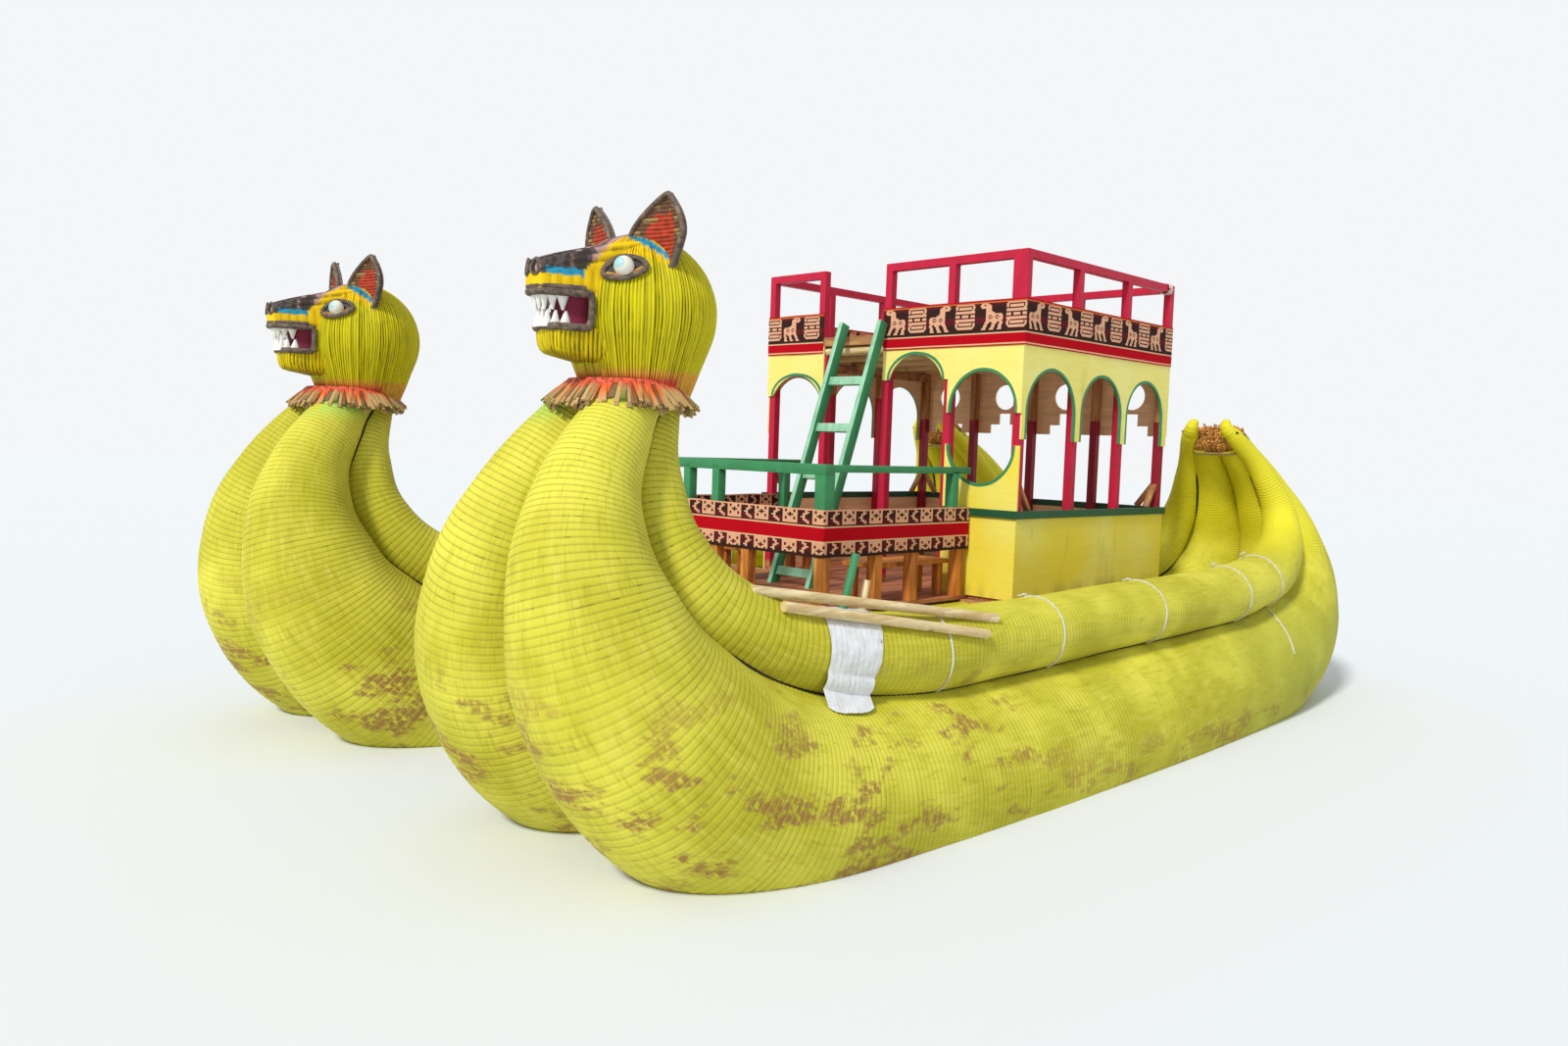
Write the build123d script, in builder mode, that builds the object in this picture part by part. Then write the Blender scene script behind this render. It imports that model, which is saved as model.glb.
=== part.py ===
from build123d import *
from math import cos, radians, sin, tan
import os

# A double-hulled boat of tied reed bundles, with a two-storey cabin.
# Millimetres, +Z up, bow towards -Y, port side +X.
# The origin is on the waterline, on the centre plane, amidships.

os.makedirs("parts", exist_ok=True)

# Hulls
hull_x = 1611            # each hull's centre plane, from the boat's centre plane
neck_top = 2320          # where the bundles end and the head begins
neck_box = 1600          # clears everything above the neck
hull_plane = Plane.YZ.offset(hull_x)

# A main bundle from the neck to the stern tip:
# out from the hull's centre plane, along, up, radius
BUNDLE = [
    (125, -3485, 2475, 135),
    (175, -3745, 2160, 190),
    (265, -3980, 1740, 285),
    (390, -4015, 1275, 410),
    (495, -3790, 775, 530),
    (545, -3195, 340, 590),
    (570, -2090, 145, 610),
    (585, -280, 145, 628),
    (580, 1450, 210, 626),
    (555, 2885, 335, 595),
    (485, 3755, 715, 520),
    (360, 4050, 1230, 390),
    (230, 3850, 1775, 247),
    (130, 3315, 2280, 138),
]

# The outboard gunwale roll, in the same columns
OUTER_ROLL = [
    (50, -3350, 2400, 100),
    (72, -3410, 2245, 119),
    (170, -3525, 1890, 170),
    (315, -3485, 1495, 212),
    (480, -3135, 1145, 235),
    (595, -2365, 960, 244),
    (660, -1190, 935, 238),
    (695, 85, 970, 232),
    (725, 1310, 995, 230),
    (700, 2425, 1045, 229),
    (620, 3260, 1210, 215),
    (495, 3630, 1560, 158),
    (365, 3495, 1980, 105),
    (205, 3165, 2330, 74),
]

# The inboard roll, which dips under the deck, in the same columns
INNER_ROLL = [
    (50, -3350, 2400, 100),
    (72, -3410, 2245, 119),
    (170, -3525, 1890, 170),
    (315, -3485, 1495, 212),
    (480, -3135, 1145, 235),
    (580, -2400, 945, 238),
    (610, -1450, 730, 190),
    (610, -400, 725, 190),
    (610, 1200, 725, 190),
    (610, 2600, 725, 190),
    (610, 3150, 960, 205),
    (495, 3630, 1560, 158),
    (365, 3495, 1980, 105),
    (205, 3165, 2330, 74),
]
reed_step = 8            # how far the cut reeds stand in from the bundle's skin
reed_length = 90         # how far they stand out of the stern tip

# Deck
deck_top = 960
board = 30               # deck board thickness
board_width = 150
board_gap = 6
deck_under = deck_top - board
beam_foot = 730          # underside of the cross beams, before they saddle the bundles
beam_width = 110
beam_half = 2000         # half the beams' length
beam_lines = [-1210, -580, 320, 1490, 2600]

# Cabin
cabin_half = 1400        # half the width, outside the wall sheets
cabin_front = 340
cabin_back = 2710
skin = 16                # thickness of the wall sheets
post = 70                # side of the square posts
sill_top = 1656
sill = 60                # sill height
sill_out = 20            # how far the sill stands out
sill_foot = sill_top - sill
inside_half = cabin_half - skin
inside_front = cabin_front + skin
inside_back = cabin_back - skin
plate = 80               # depth of the side plates on the posts
joist_radius = 40
joist_foot = 2910
joist_lines = 5
joist_seat = 3           # how far a round joist is let into what carries it
fascia_foot = joist_foot + 2 * joist_radius
fascia = 80              # height of the upper deck's edge timbers
fascia_width = 70
upper_board = 28

# Arched openings: middle, half width, springing height, rise
FRONT_BAYS = [           # then the sheet's two ends and its bottom edge
    (-1025, 302, 2556, 184, -cabin_half, -690, 2556),
    (352, 282, 2680, 210, 0, 690, 2680),
    (1034, 307, 2432, 308, 690, cabin_half, 2410),
]
SIDE_ARCHES = [
    (762, 341, 2414, 341),
    (1536, 312, 2443, 312),
    (2278, 311, 2444, 311),
]
side_foot = 2210
full_bay = FRONT_BAYS[2]  # the bay that is closed below its round opening
round_z = 2160           # centre of that opening's lower half
# Aft wall: a round hole over a stepped one in each bay
aft_foot = 2300
aft_bay = 700
aft_hole = 125
aft_hole_z = 2665
AFT_STEPS = [(170, 2390), (65, 2500)]    # half width, top
front_posts = [-700, 20, 680]
side_posts = [1165, 1907]
aft_posts = [-700, 0, 700]

# Upper railing and the cloth round it
rail_top = 3657
rail = 66
cloth = 10               # thickness of the cloth with its backing
cloth_foot = 2930
cloth_top = 3283
step_in = (-700, 0)      # the gap at the ladder
rail_front = [-733, 33, 690]
rail_side = [1130, 1920]
rail_aft = [-467, 467]
corner_pair = 130        # width of the doubled post at the front port corner

# Fenced fore deck
pen_half = 970
pen_front = -1360
pen_rail_top = 1980
pen_rail = 50
pen_rail_width = 80
pen_post = 75
pen_leg = 80
apron_foot = 1400        # the rail that the cloth hides
apron_top = 1460
pen_cloth_foot = 1330
pen_cloth_top = 1665
pen_front_posts = [-512, -175]
pen_side_posts = [137]
pen_front_legs = [-177, 177]
pen_side_legs = [-758, -335, 225]

# Benches on the fore deck
bench_top = 1250
bench_board = 35
bench_low = (560, -700)  # inboard and forward corner of the seat
bench_high = (880, 200)
bench_leg = 60

# Ladder
ladder_x = -190          # middle of the ladder
ladder_width = 480       # over the stiles
stile = 45
stile_depth = 95
rung = 34
rung_depth = 80
ladder_foot = -430       # back of the stiles' feet
ladder_over = 80         # how far the stiles pass the upper deck's edge
RUNGS = [1230, 1630, 2030, 2430, 2830]

# Head
head_y = -3490           # the skull's upright axis
skull = 400
skull_z = 2740
skull_foot = 270         # radius where the skull meets the neck
jowl_angle = 20          # where the round skull runs into its straight neck
muzzle_foot = 2785       # the roof of the mouth
jaw_top = 2630
# Upper muzzle and lower jaw: along, half width, low, high
MUZZLE = [
    (-4115, 66, muzzle_foot, 2935),
    (-3830, 160, muzzle_foot, 3030),
    (-3560, 220, muzzle_foot, 3090),
]
JAW = [
    (-4055, 95, 2500, jaw_top),
    (-3830, 150, 2460, jaw_top),
    (-3560, 220, 2430, jaw_top),
]
muzzle_round = 28
throat_half = 120        # the open mouth behind the teeth
throat_y = -3900
throat_end = -3810
nostril = 20             # radius
nostril_x = 31
nostril_z = 2890
nostril_depth = 30
ear_x = 205
ear_y = -3540
ear_z = 2900
ear_yaw = 14             # how far the ears face outward
ear_height = 410
ear_width = 300
ear_lean = 95            # how far the tip stands outward
ear_belly = 0.86         # how far out the sides are, of the half width, at mid height
ear_thick = 60
ear_cup = 38             # depth of the ear's hollow
ear_hollow = 0.8         # the hollow's outline, of the ear's
eye_x = 262
eye_y = -3765
eye_z = 2915
eye = 50                 # radius of the eyeball
lid_long = 105           # half length of the eye's rim
lid_high = 56            # half height
lid_thick = 55
lid_tilt = 13            # how far the eye's outer corner is turned up
# Teeth by pairs: out from the middle, along
UPPER_TEETH = [(22, -4078), (52, -4048), (70, -4000)]
LOWER_TEETH = [(22, -4022), (64, -4020), (82, -3975)]
tooth = 20               # radius at the root
tooth_tip = 3
tooth_length = 70
rim_thick = 26
rim_out = 14             # how far the lips stand out of the jaws
rim_height = 28
rim_back = -3885
collar_y = -3580
collar_top = 2390
collar_foot = 2262
collar_in = 268          # inner radius at the top
collar_flare = 68        # how much wider it is at the foot
collar_thick = 36
collar_reeds = 44
collar_slit = 9

# Loose gear
stake = 23               # radius
STAKES = [               # foot, then top
    ((2200, -2530, 1120), (2200, -2410, 1520)),
    ((2200, -2370, 1120), (2200, -2310, 1370)),
]
pole = 28                # radius
POLES = [                # forward end, then after end
    ((2196, -3190, 1372), (2440, -1390, 1112)),
    ((2302, -3060, 1292), (2497, -1560, 1040)),
]
wrap_front = -2710
wrap_back = -2290
wrap_thick = 8
wrap_in = 2150
roll_reach = 250         # clears the roll on every side


def section_planes(stations, side):
    """Planes square to the path through the stations, each with its radius."""
    centres = [Vector(hull_x + side * s[0], s[1], s[2]) for s in stations]
    planes = []
    for i, centre in enumerate(centres):
        ahead = centres[min(i + 1, len(centres) - 1)]
        behind = centres[max(i - 1, 0)]
        along = (ahead - behind).normalized()
        across = Vector(1, 0, 0) - along * along.X
        planes.append((Plane(origin=centre, x_dir=across, z_dir=along), stations[i][3]))
    return planes


def reed_half(stations, side, swell=0):
    """One of a hull's pair: round sections, cut at the hull's centre plane and neck."""
    with BuildPart() as member:
        for plane, radius in section_planes(stations, side):
            with BuildSketch(plane):
                Circle(radius + swell)
        loft()
        split(bisect_by=hull_plane, keep=Keep.TOP if side > 0 else Keep.BOTTOM)
        with Locations((hull_x, BUNDLE[0][1], neck_top)):
            Box(neck_box, neck_box, neck_box, align=(Align.CENTER, Align.CENTER, Align.MIN),
                mode=Mode.SUBTRACT)
    return member.part


def span_box(low, high, mode=Mode.ADD):
    """A box between two corners."""
    size = [b - a for a, b in zip(low, high)]
    with Locations(tuple(low)):
        Box(*size, align=(Align.MIN, Align.MIN, Align.MIN), mode=mode)


def cabin_ring(half, front, back, width, foot, top):
    """A rectangular band round the cabin."""
    span_box((-half, front, foot), (half, back, top))
    span_box((-half + width, front + width, foot), (half - width, back - width, top),
             mode=Mode.SUBTRACT)


def open_gap(span, front, width, foot, top):
    """Cuts a gap through the front of a ring."""
    span_box((span[0], front - 1, foot), (span[1], front + width + 1, top), mode=Mode.SUBTRACT)


def square_posts(places, foot, top, side=post):
    """Square posts on the given middles."""
    for x, y in places:
        span_box((x - side / 2, y - side / 2, foot), (x + side / 2, y + side / 2, top))


def arch(middle, half_width, spring, rise, foot):
    """Cuts an arched opening out of the sketch in hand."""
    left = (middle - half_width, spring)
    right = (middle + half_width, spring)
    with BuildLine() as outline:
        ThreePointArc(left, (middle, spring + rise), right)
        Polyline(right, (right[0], foot - 1), (left[0], foot - 1), left)
    make_face(outline.edges(), mode=Mode.SUBTRACT)


def upright_sheet(low, high, foot, top):
    """A rectangle in the sketch in hand, from low to high along it."""
    with Locations(((low + high) / 2, (foot + top) / 2)):
        Rectangle(high - low, top - foot)


def deck_boards(half, front, back, top, thickness):
    """Boards laid fore and aft, with narrow gaps."""
    count = round((2 * half + board_gap) / (board_width + board_gap))
    pitch = (2 * half + board_gap) / count
    with BuildPart() as boards:
        with BuildSketch(Plane.XY.offset(top - thickness)):
            with Locations((0, (front + back) / 2)):
                with GridLocations(pitch, 1, count, 1):
                    Rectangle(pitch - board_gap, back - front)
        extrude(amount=thickness)
    return boards


# Main bundles of the port hull
bundle_half = reed_half(BUNDLE, 1)
with BuildPart() as outer_bundle:
    add(bundle_half)
with BuildPart() as inner_bundle:
    mirror(outer_bundle.part, about=hull_plane)

# Cross beams, saddled on the bundles of both hulls
with BuildPart() as cross_beams:
    for y in beam_lines:
        span_box((-beam_half, y - beam_width / 2, beam_foot),
                 (beam_half, y + beam_width / 2, deck_under))
    for bundle in (outer_bundle, inner_bundle):
        add(bundle.part, mode=Mode.SUBTRACT)
        mirror(bundle.part, about=Plane.YZ, mode=Mode.SUBTRACT)

# Loose poles that lie along the outboard roll
with BuildPart() as poles:
    for start, end in POLES:
        run = Vector(*end) - Vector(*start)
        with BuildSketch(Plane(origin=start, z_dir=run)):
            Circle(pole)
        extrude(amount=run.length)

# Gunwale rolls, seated on the bundles
outer_roll_half = reed_half(OUTER_ROLL, 1)
inner_roll_half = reed_half(INNER_ROLL, -1)
with BuildPart() as outer_roll:
    add(outer_roll_half)
    add(outer_bundle.part, mode=Mode.SUBTRACT)
    add(poles.part, mode=Mode.SUBTRACT)
with BuildPart() as inner_roll:
    add(inner_roll_half)
    span_box((0, pen_front, deck_under), (hull_x, cabin_back, neck_top), mode=Mode.SUBTRACT)
    add(inner_bundle.part, mode=Mode.SUBTRACT)
    add(cross_beams.part, mode=Mode.SUBTRACT)

# Cut reeds at the stern tip
stern_plane, stern_radius = section_planes(BUNDLE, 1)[-1]
with BuildPart() as stern_reeds:
    with BuildSketch(stern_plane):
        Circle(stern_radius - reed_step)
    extrude(amount=reed_length)
    split(bisect_by=hull_plane, keep=Keep.TOP)
    mirror(about=hull_plane)
    for roll in (outer_roll, inner_roll):
        add(roll.part, mode=Mode.SUBTRACT)

# Head: skull, muzzle and lower jaw round an open mouth
head_plane = Plane(origin=(hull_x, head_y, 0), x_dir=(1, 0, 0), z_dir=(0, -1, 0))
head_axis = Axis((hull_x, head_y, 0), (0, 0, 1))
with BuildPart() as head:
    with BuildSketch(head_plane):
        with BuildLine():
            dome = CenterArc((0, skull_z), skull, -jowl_angle, 90 + jowl_angle)
            Polyline(dome @ 1, (0, neck_top), (skull_foot, neck_top), dome @ 0)
        make_face()
    revolve(axis=head_axis)
    for sections in (MUZZLE, JAW):
        for y, half_width, low, high in sections:
            with BuildSketch(Plane.XZ.offset(-y)):
                with Locations((hull_x, (low + high) / 2)):
                    RectangleRounded(2 * half_width, high - low, muzzle_round)
        loft()
    span_box((hull_x - throat_half, throat_y, jaw_top),
             (hull_x + throat_half, throat_end, muzzle_foot), mode=Mode.SUBTRACT)
    with BuildSketch(Plane.XZ.offset(-MUZZLE[0][0])):
        with Locations((hull_x - nostril_x, nostril_z), (hull_x + nostril_x, nostril_z)):
            Circle(nostril)
    extrude(amount=-nostril_depth, mode=Mode.SUBTRACT)

# Cupped, pointed ears
with BuildPart() as ears:
    for side in (1, -1):
        out_x = side * sin(radians(ear_yaw))
        out_y = -cos(radians(ear_yaw))
        ear_plane = Plane(origin=(hull_x + side * ear_x, ear_y, ear_z),
                          x_dir=(-out_y, out_x, 0), z_dir=(out_x, out_y, 0))
        for scale, depth, mode in ((1, ear_thick, Mode.ADD), (ear_hollow, ear_cup, Mode.SUBTRACT)):
            half = ear_width / 2 * scale
            tip = (side * ear_lean * scale, ear_height * scale)
            with BuildSketch(ear_plane.offset(ear_thick - depth)):
                with BuildLine():
                    ThreePointArc((-half, 0), (-half * ear_belly, tip[1] * 0.45), tip)
                    ThreePointArc(tip, (half * ear_belly, tip[1] * 0.45), (half, 0))
                    Line((half, 0), (-half, 0))
                make_face()
            extrude(amount=depth, mode=mode)
    add(head.part, mode=Mode.SUBTRACT)

# Eyeballs, and the almond rims round them with the lips
eye_gaze = Vector(eye_x, eye_y - head_y, eye_z - skull_z).normalized()
with BuildPart() as eyes:
    for side in (1, -1):
        with Locations((hull_x + side * eye_x, eye_y, eye_z)):
            Sphere(eye)
    add(head.part, mode=Mode.SUBTRACT)

lid_arc = (lid_long ** 2 + lid_high ** 2) / (2 * lid_high)
with BuildPart() as face_rims:
    for side in (1, -1):
        gaze = Vector(side * eye_gaze.X, eye_gaze.Y, eye_gaze.Z)
        level = Vector(-gaze.Y, gaze.X, 0).normalized()
        along_lid = level + gaze.cross(level) * side * tan(radians(lid_tilt))
        lid_plane = Plane(origin=(hull_x + side * eye_x, eye_y, eye_z), x_dir=along_lid, z_dir=gaze)
        with BuildSketch(lid_plane.offset(-lid_thick / 2)):
            with BuildLine():
                ThreePointArc((-lid_long, 0), (0, lid_high), (lid_long, 0))
                ThreePointArc((lid_long, 0), (0, -lid_high), (-lid_long, 0))
            make_face()
        extrude(amount=lid_thick)
    for low, sections in ((muzzle_foot - rim_height, MUZZLE), (jaw_top, JAW)):
        y_tip, half_tip = sections[0][:2]
        y_root, half_root = sections[1][:2]
        spread = (half_root - half_tip) / (y_root - y_tip)
        half_back = half_tip + spread * (rim_back - y_tip)
        with BuildSketch(Plane.XY.offset(low)):
            with BuildLine():
                Polyline((hull_x - half_back - rim_out, rim_back),
                         (hull_x - half_tip - rim_out, y_tip - rim_out),
                         (hull_x + half_tip + rim_out, y_tip - rim_out),
                         (hull_x + half_back + rim_out, rim_back), close=True)
            make_face()
            with BuildLine():
                inset = rim_thick - rim_out
                Polyline((hull_x - half_back + inset, rim_back + 1),
                         (hull_x - half_tip + inset, y_tip + inset),
                         (hull_x + half_tip - inset, y_tip + inset),
                         (hull_x + half_back - inset, rim_back + 1), close=True)
            make_face(mode=Mode.SUBTRACT)
        extrude(amount=rim_height)
    for side in (1, -1):
        corner_x = hull_x + side * (half_back + rim_out / 2)
        span_box((corner_x - rim_thick / 2, rim_back - rim_thick, jaw_top),
                 (corner_x + rim_thick / 2, rim_back, muzzle_foot))
    add(head.part, mode=Mode.SUBTRACT)
    add(eyes.part, mode=Mode.SUBTRACT)

# Pointed teeth, upper and lower
with BuildPart() as teeth:
    for row, root_z, way in ((UPPER_TEETH, muzzle_foot, -1), (LOWER_TEETH, jaw_top, 1)):
        for out, y in row:
            for side in (1, -1):
                with Locations(Plane(origin=(hull_x + side * out, y, root_z), z_dir=(0, 0, way))):
                    Cone(tooth, tooth_tip, tooth_length, align=(Align.CENTER, Align.CENTER, Align.MIN))

# Flared collar of cut reeds between the head and the neck
collar_plane = Plane(origin=(hull_x, collar_y, 0), x_dir=(1, 0, 0), z_dir=(0, -1, 0))
with BuildPart() as collar:
    with BuildSketch(collar_plane):
        with BuildLine():
            Polyline((collar_in, collar_top), (collar_in + collar_thick, collar_top),
                     (collar_in + collar_flare + collar_thick, collar_foot),
                     (collar_in + collar_flare, collar_foot), close=True)
        make_face()
    revolve(axis=Axis((hull_x, collar_y, 0), (0, 0, 1)))
    with Locations((hull_x, collar_y, collar_foot)):
        with PolarLocations(collar_in + collar_flare + collar_thick, collar_reeds):
            Box(collar_thick, collar_slit, collar_top - collar_foot, mode=Mode.SUBTRACT)
    for neighbour in (head, outer_bundle, inner_bundle, outer_roll, inner_roll):
        add(neighbour.part, mode=Mode.SUBTRACT)

# Sheet wrapped round the port hull's outboard roll
wrap_half = reed_half(OUTER_ROLL, 1, swell=wrap_thick)
with BuildPart() as roll_wrap:
    span_box((wrap_in, wrap_front, deck_top - 2 * roll_reach), (wrap_in + 3 * roll_reach, wrap_back, rail_top))
    add(wrap_half, mode=Mode.INTERSECT)
    for neighbour in (outer_roll, outer_bundle):
        add(neighbour.part, mode=Mode.SUBTRACT)

# Stakes that stand on that roll
with BuildPart() as stakes:
    for foot, top in STAKES:
        rise = Vector(*top) - Vector(*foot)
        with BuildSketch(Plane(origin=foot, z_dir=rise)):
            Circle(stake)
        extrude(amount=rise.length)
    add(outer_roll.part, mode=Mode.SUBTRACT)
    add(roll_wrap.part, mode=Mode.SUBTRACT)

# Deck boards
fore_deck = deck_boards(pen_half, pen_front, cabin_front, deck_top, board)
cabin_floor = deck_boards(inside_half, inside_front, inside_back, deck_top, board)

# Lower walls
with BuildPart() as port_lower_wall:
    span_box((inside_half, inside_front, deck_under), (cabin_half, inside_back, sill_foot))
with BuildPart() as starboard_lower_wall:
    mirror(port_lower_wall.part, about=Plane.YZ)
with BuildPart() as aft_lower_wall:
    span_box((-cabin_half, inside_back, deck_under), (cabin_half, cabin_back, sill_foot))

# The closed front bay, below and above the sill
front_plane = Plane(origin=(0, cabin_front, 0), x_dir=(1, 0, 0), z_dir=(0, -1, 0))
bay_middle, bay_half = full_bay[:2]
bay_start, bay_end = full_bay[4:6]
with BuildPart() as front_lower_wall:
    with BuildSketch(front_plane):
        upright_sheet(bay_start, bay_end, deck_top, sill_foot)
        upright_sheet(bay_start, bay_end, sill_top, round_z)
        with Locations((bay_middle, round_z)):
            Circle(bay_half, mode=Mode.SUBTRACT)
    extrude(amount=-skin)

# Sill round the cabin, open in front of the entrance bays
with BuildPart() as sill_band:
    cabin_ring(cabin_half + sill_out, cabin_front - sill_out, cabin_back + sill_out,
               sill_out + skin, sill_foot, sill_top)
    open_gap((-inside_half, bay_start), cabin_front - sill_out, sill_out + skin, sill_foot, sill_top)

# Arched sheets
with BuildPart() as front_arches:
    with BuildSketch(front_plane):
        for middle, half_width, spring, rise, start, end, foot in FRONT_BAYS:
            upright_sheet(start, end, foot, fascia_foot)
            arch(middle, half_width, spring, rise, foot)
    extrude(amount=-skin)

port_plane = Plane(origin=(cabin_half, 0, 0), x_dir=(0, 1, 0), z_dir=(1, 0, 0))
with BuildPart() as port_arches:
    with BuildSketch(port_plane):
        upright_sheet(inside_front, inside_back, side_foot, fascia_foot)
        for middle, half_width, spring, rise in SIDE_ARCHES:
            arch(middle, half_width, spring, rise, side_foot)
    extrude(amount=-skin)
with BuildPart() as starboard_arches:
    mirror(port_arches.part, about=Plane.YZ)

aft_plane = Plane(origin=(0, cabin_back, 0), x_dir=(-1, 0, 0), z_dir=(0, 1, 0))
with BuildPart() as aft_screen:
    with BuildSketch(aft_plane):
        upright_sheet(-cabin_half, cabin_half, aft_foot, fascia_foot)
        with Locations((0, aft_hole_z)):
            with GridLocations(aft_bay, 1, 4, 1):
                Circle(aft_hole, mode=Mode.SUBTRACT)
        for half_width, top in AFT_STEPS:
            with Locations((0, (aft_foot + top) / 2)):
                with GridLocations(aft_bay, 1, 4, 1):
                    Rectangle(2 * half_width, top - aft_foot, mode=Mode.SUBTRACT)
    extrude(amount=-skin)

# Posts, side plates and round joists
front_line = inside_front + post / 2
back_line = inside_back - post / 2
side_line = inside_half - post / 2
with BuildPart() as cabin_posts:
    square_posts([(x, front_line) for x in front_posts] + [(x, back_line) for x in aft_posts],
                 deck_top, joist_foot)
    square_posts([(side * side_line, y) for side in (1, -1)
                  for y in [front_line, *side_posts, back_line]], deck_top, joist_foot - plate)

with BuildPart() as roof_frame:
    for side in (1, -1):
        span_box((side * side_line - post / 2, inside_front, joist_foot - plate),
                 (side * side_line + post / 2, inside_back, joist_foot))

first_joist = inside_front + joist_radius
last_joist = inside_back - joist_radius
with BuildPart() as roof_joists:
    for i in range(joist_lines):
        y = first_joist + (last_joist - first_joist) * i / (joist_lines - 1)
        joist_plane = Plane(origin=(-inside_half, y, joist_foot + joist_radius - joist_seat), z_dir=(1, 0, 0))
        with BuildSketch(joist_plane):
            Circle(joist_radius)
        extrude(amount=2 * inside_half)
    for neighbour in (roof_frame, cabin_posts):
        add(neighbour.part, mode=Mode.SUBTRACT)

# Upper deck: boards inside a frame of edge timbers
with BuildPart() as upper_fascia:
    cabin_ring(cabin_half, cabin_front, cabin_back, fascia_width, fascia_foot, fascia_foot + fascia)
fascia_top = fascia_foot + fascia
upper_boards = deck_boards(cabin_half - fascia_width, cabin_front + fascia_width,
                           cabin_back - fascia_width, fascia_foot - joist_seat + upper_board, upper_board)

# Upper railing
rail_line = cabin_half - rail / 2
rail_front_line = cabin_front + rail / 2
rail_back_line = cabin_back - rail / 2
with BuildPart() as upper_railing:
    cabin_ring(cabin_half, cabin_front, cabin_back, rail, rail_top - rail, rail_top)
    open_gap(step_in, cabin_front, rail, rail_top - rail, rail_top)
    places = [(x, rail_front_line) for x in rail_front]
    places += [(x, rail_back_line) for x in rail_aft]
    places += [(side * rail_line, y) for side in (1, -1)
               for y in [rail_front_line, *rail_side, rail_back_line]]
    square_posts(places, fascia_top, rail_top - rail / 2, side=rail)
    span_box((cabin_half - corner_pair, cabin_front, fascia_top),
             (cabin_half, cabin_front + rail, rail_top - rail / 2))

# Cloth bands
with BuildPart() as upper_cloth:
    cabin_ring(cabin_half + cloth, cabin_front - cloth, cabin_back + cloth, cloth, cloth_foot, cloth_top)
    open_gap(step_in, cabin_front - cloth, cloth, cloth_foot, cloth_top)


def pen_band(half, front, width, foot, top, back=cabin_front):
    """A band on the three open sides of the fore deck."""
    span_box((-half, front, foot), (half, back, top))
    span_box((-half + width, front + width, foot), (half - width, back, top), mode=Mode.SUBTRACT)


with BuildPart() as pen_cloth:
    pen_band(pen_half + cloth, pen_front - cloth, cloth, pen_cloth_foot, pen_cloth_top,
             back=cabin_front - sill_out)

# Fence of the fore deck: rail and posts over an apron on legs
post_line = pen_half - pen_post / 2
post_front_line = pen_front + pen_post / 2
leg_line = pen_half - pen_leg / 2
leg_front_line = pen_front + pen_leg / 2
with BuildPart() as pen_fence:
    pen_band(pen_half, pen_front, pen_rail_width, pen_rail_top - pen_rail, pen_rail_top)
    square_posts([(x, post_front_line) for x in [-post_line, *pen_front_posts, post_line]]
                 + [(side * post_line, y) for side in (1, -1) for y in pen_side_posts],
                 apron_top, pen_rail_top - pen_rail / 2, side=pen_post)
with BuildPart() as pen_legs:
    pen_band(pen_half, pen_front, pen_leg, apron_foot, apron_top)
    square_posts([(x, leg_front_line) for x in [-leg_line, *pen_front_legs, leg_line]]
                 + [(side * leg_line, y) for side in (1, -1) for y in pen_side_legs],
                 deck_top, apron_foot + 1, side=pen_leg)

# Benches along both sides of the fore deck
with BuildPart() as benches:
    for side in (1, -1):
        low_x, high_x = sorted((side * bench_low[0], side * bench_high[0]))
        span_box((low_x, bench_low[1], bench_top - bench_board), (high_x, bench_high[1], bench_top))
        square_posts([(x, y) for x in (low_x + bench_leg, high_x - bench_leg)
                      for y in (bench_low[1] + bench_leg, bench_high[1] - bench_leg)],
                     deck_top, bench_top - bench_board + 1, side=bench_leg)

# Ladder that leans on the cloth at the upper deck's edge
lean_run = Vector(0, cabin_front - cloth - ladder_foot, fascia_top + ladder_over - deck_top)
lean = lean_run.normalized()
forward = Vector(0, -lean.Z, lean.Y)
with BuildPart() as ladder:
    foot_back = Vector(0, ladder_foot, deck_top)
    top_back = foot_back + lean_run
    top_front = top_back + forward * stile_depth
    foot_front = foot_back + Vector(0, -stile_depth / lean.Z, 0)
    for side in (1, -1):
        stile_x = ladder_x + side * (ladder_width - stile) / 2
        with BuildSketch(Plane.YZ.offset(stile_x - stile / 2)):
            with BuildLine():
                Polyline(*[(p.Y, p.Z) for p in (foot_back, top_back, top_front, foot_front)], close=True)
            make_face()
        extrude(amount=stile)
    for z in RUNGS:
        y = ladder_foot + (z - deck_top) * lean.Y / lean.Z - stile_depth / 2
        span_box((ladder_x - ladder_width / 2 + stile / 2, y - rung_depth / 2, z - rung),
                 (ladder_x + ladder_width / 2 - stile / 2, y + rung_depth / 2, z))

# Written out: the port hull's pieces, and the same for the starboard hull
HULL_PIECES = {
    "outer_bundle": outer_bundle,
    "inner_bundle": inner_bundle,
    "outer_roll": outer_roll,
    "inner_roll": inner_roll,
    "stern_reeds": stern_reeds,
    "head": head,
    "ears": ears,
    "eyes": eyes,
    "face_rims": face_rims,
    "teeth": teeth,
    "collar": collar,
}
for name, piece in HULL_PIECES.items():
    piece.part.label = "port_" + name
    export_step(piece.part, f"parts/port_{name}.step")
    with BuildPart() as twin:
        mirror(piece.part, about=Plane.YZ)
    twin.part.label = "starboard_" + name
    export_step(twin.part, f"parts/starboard_{name}.step")

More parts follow.
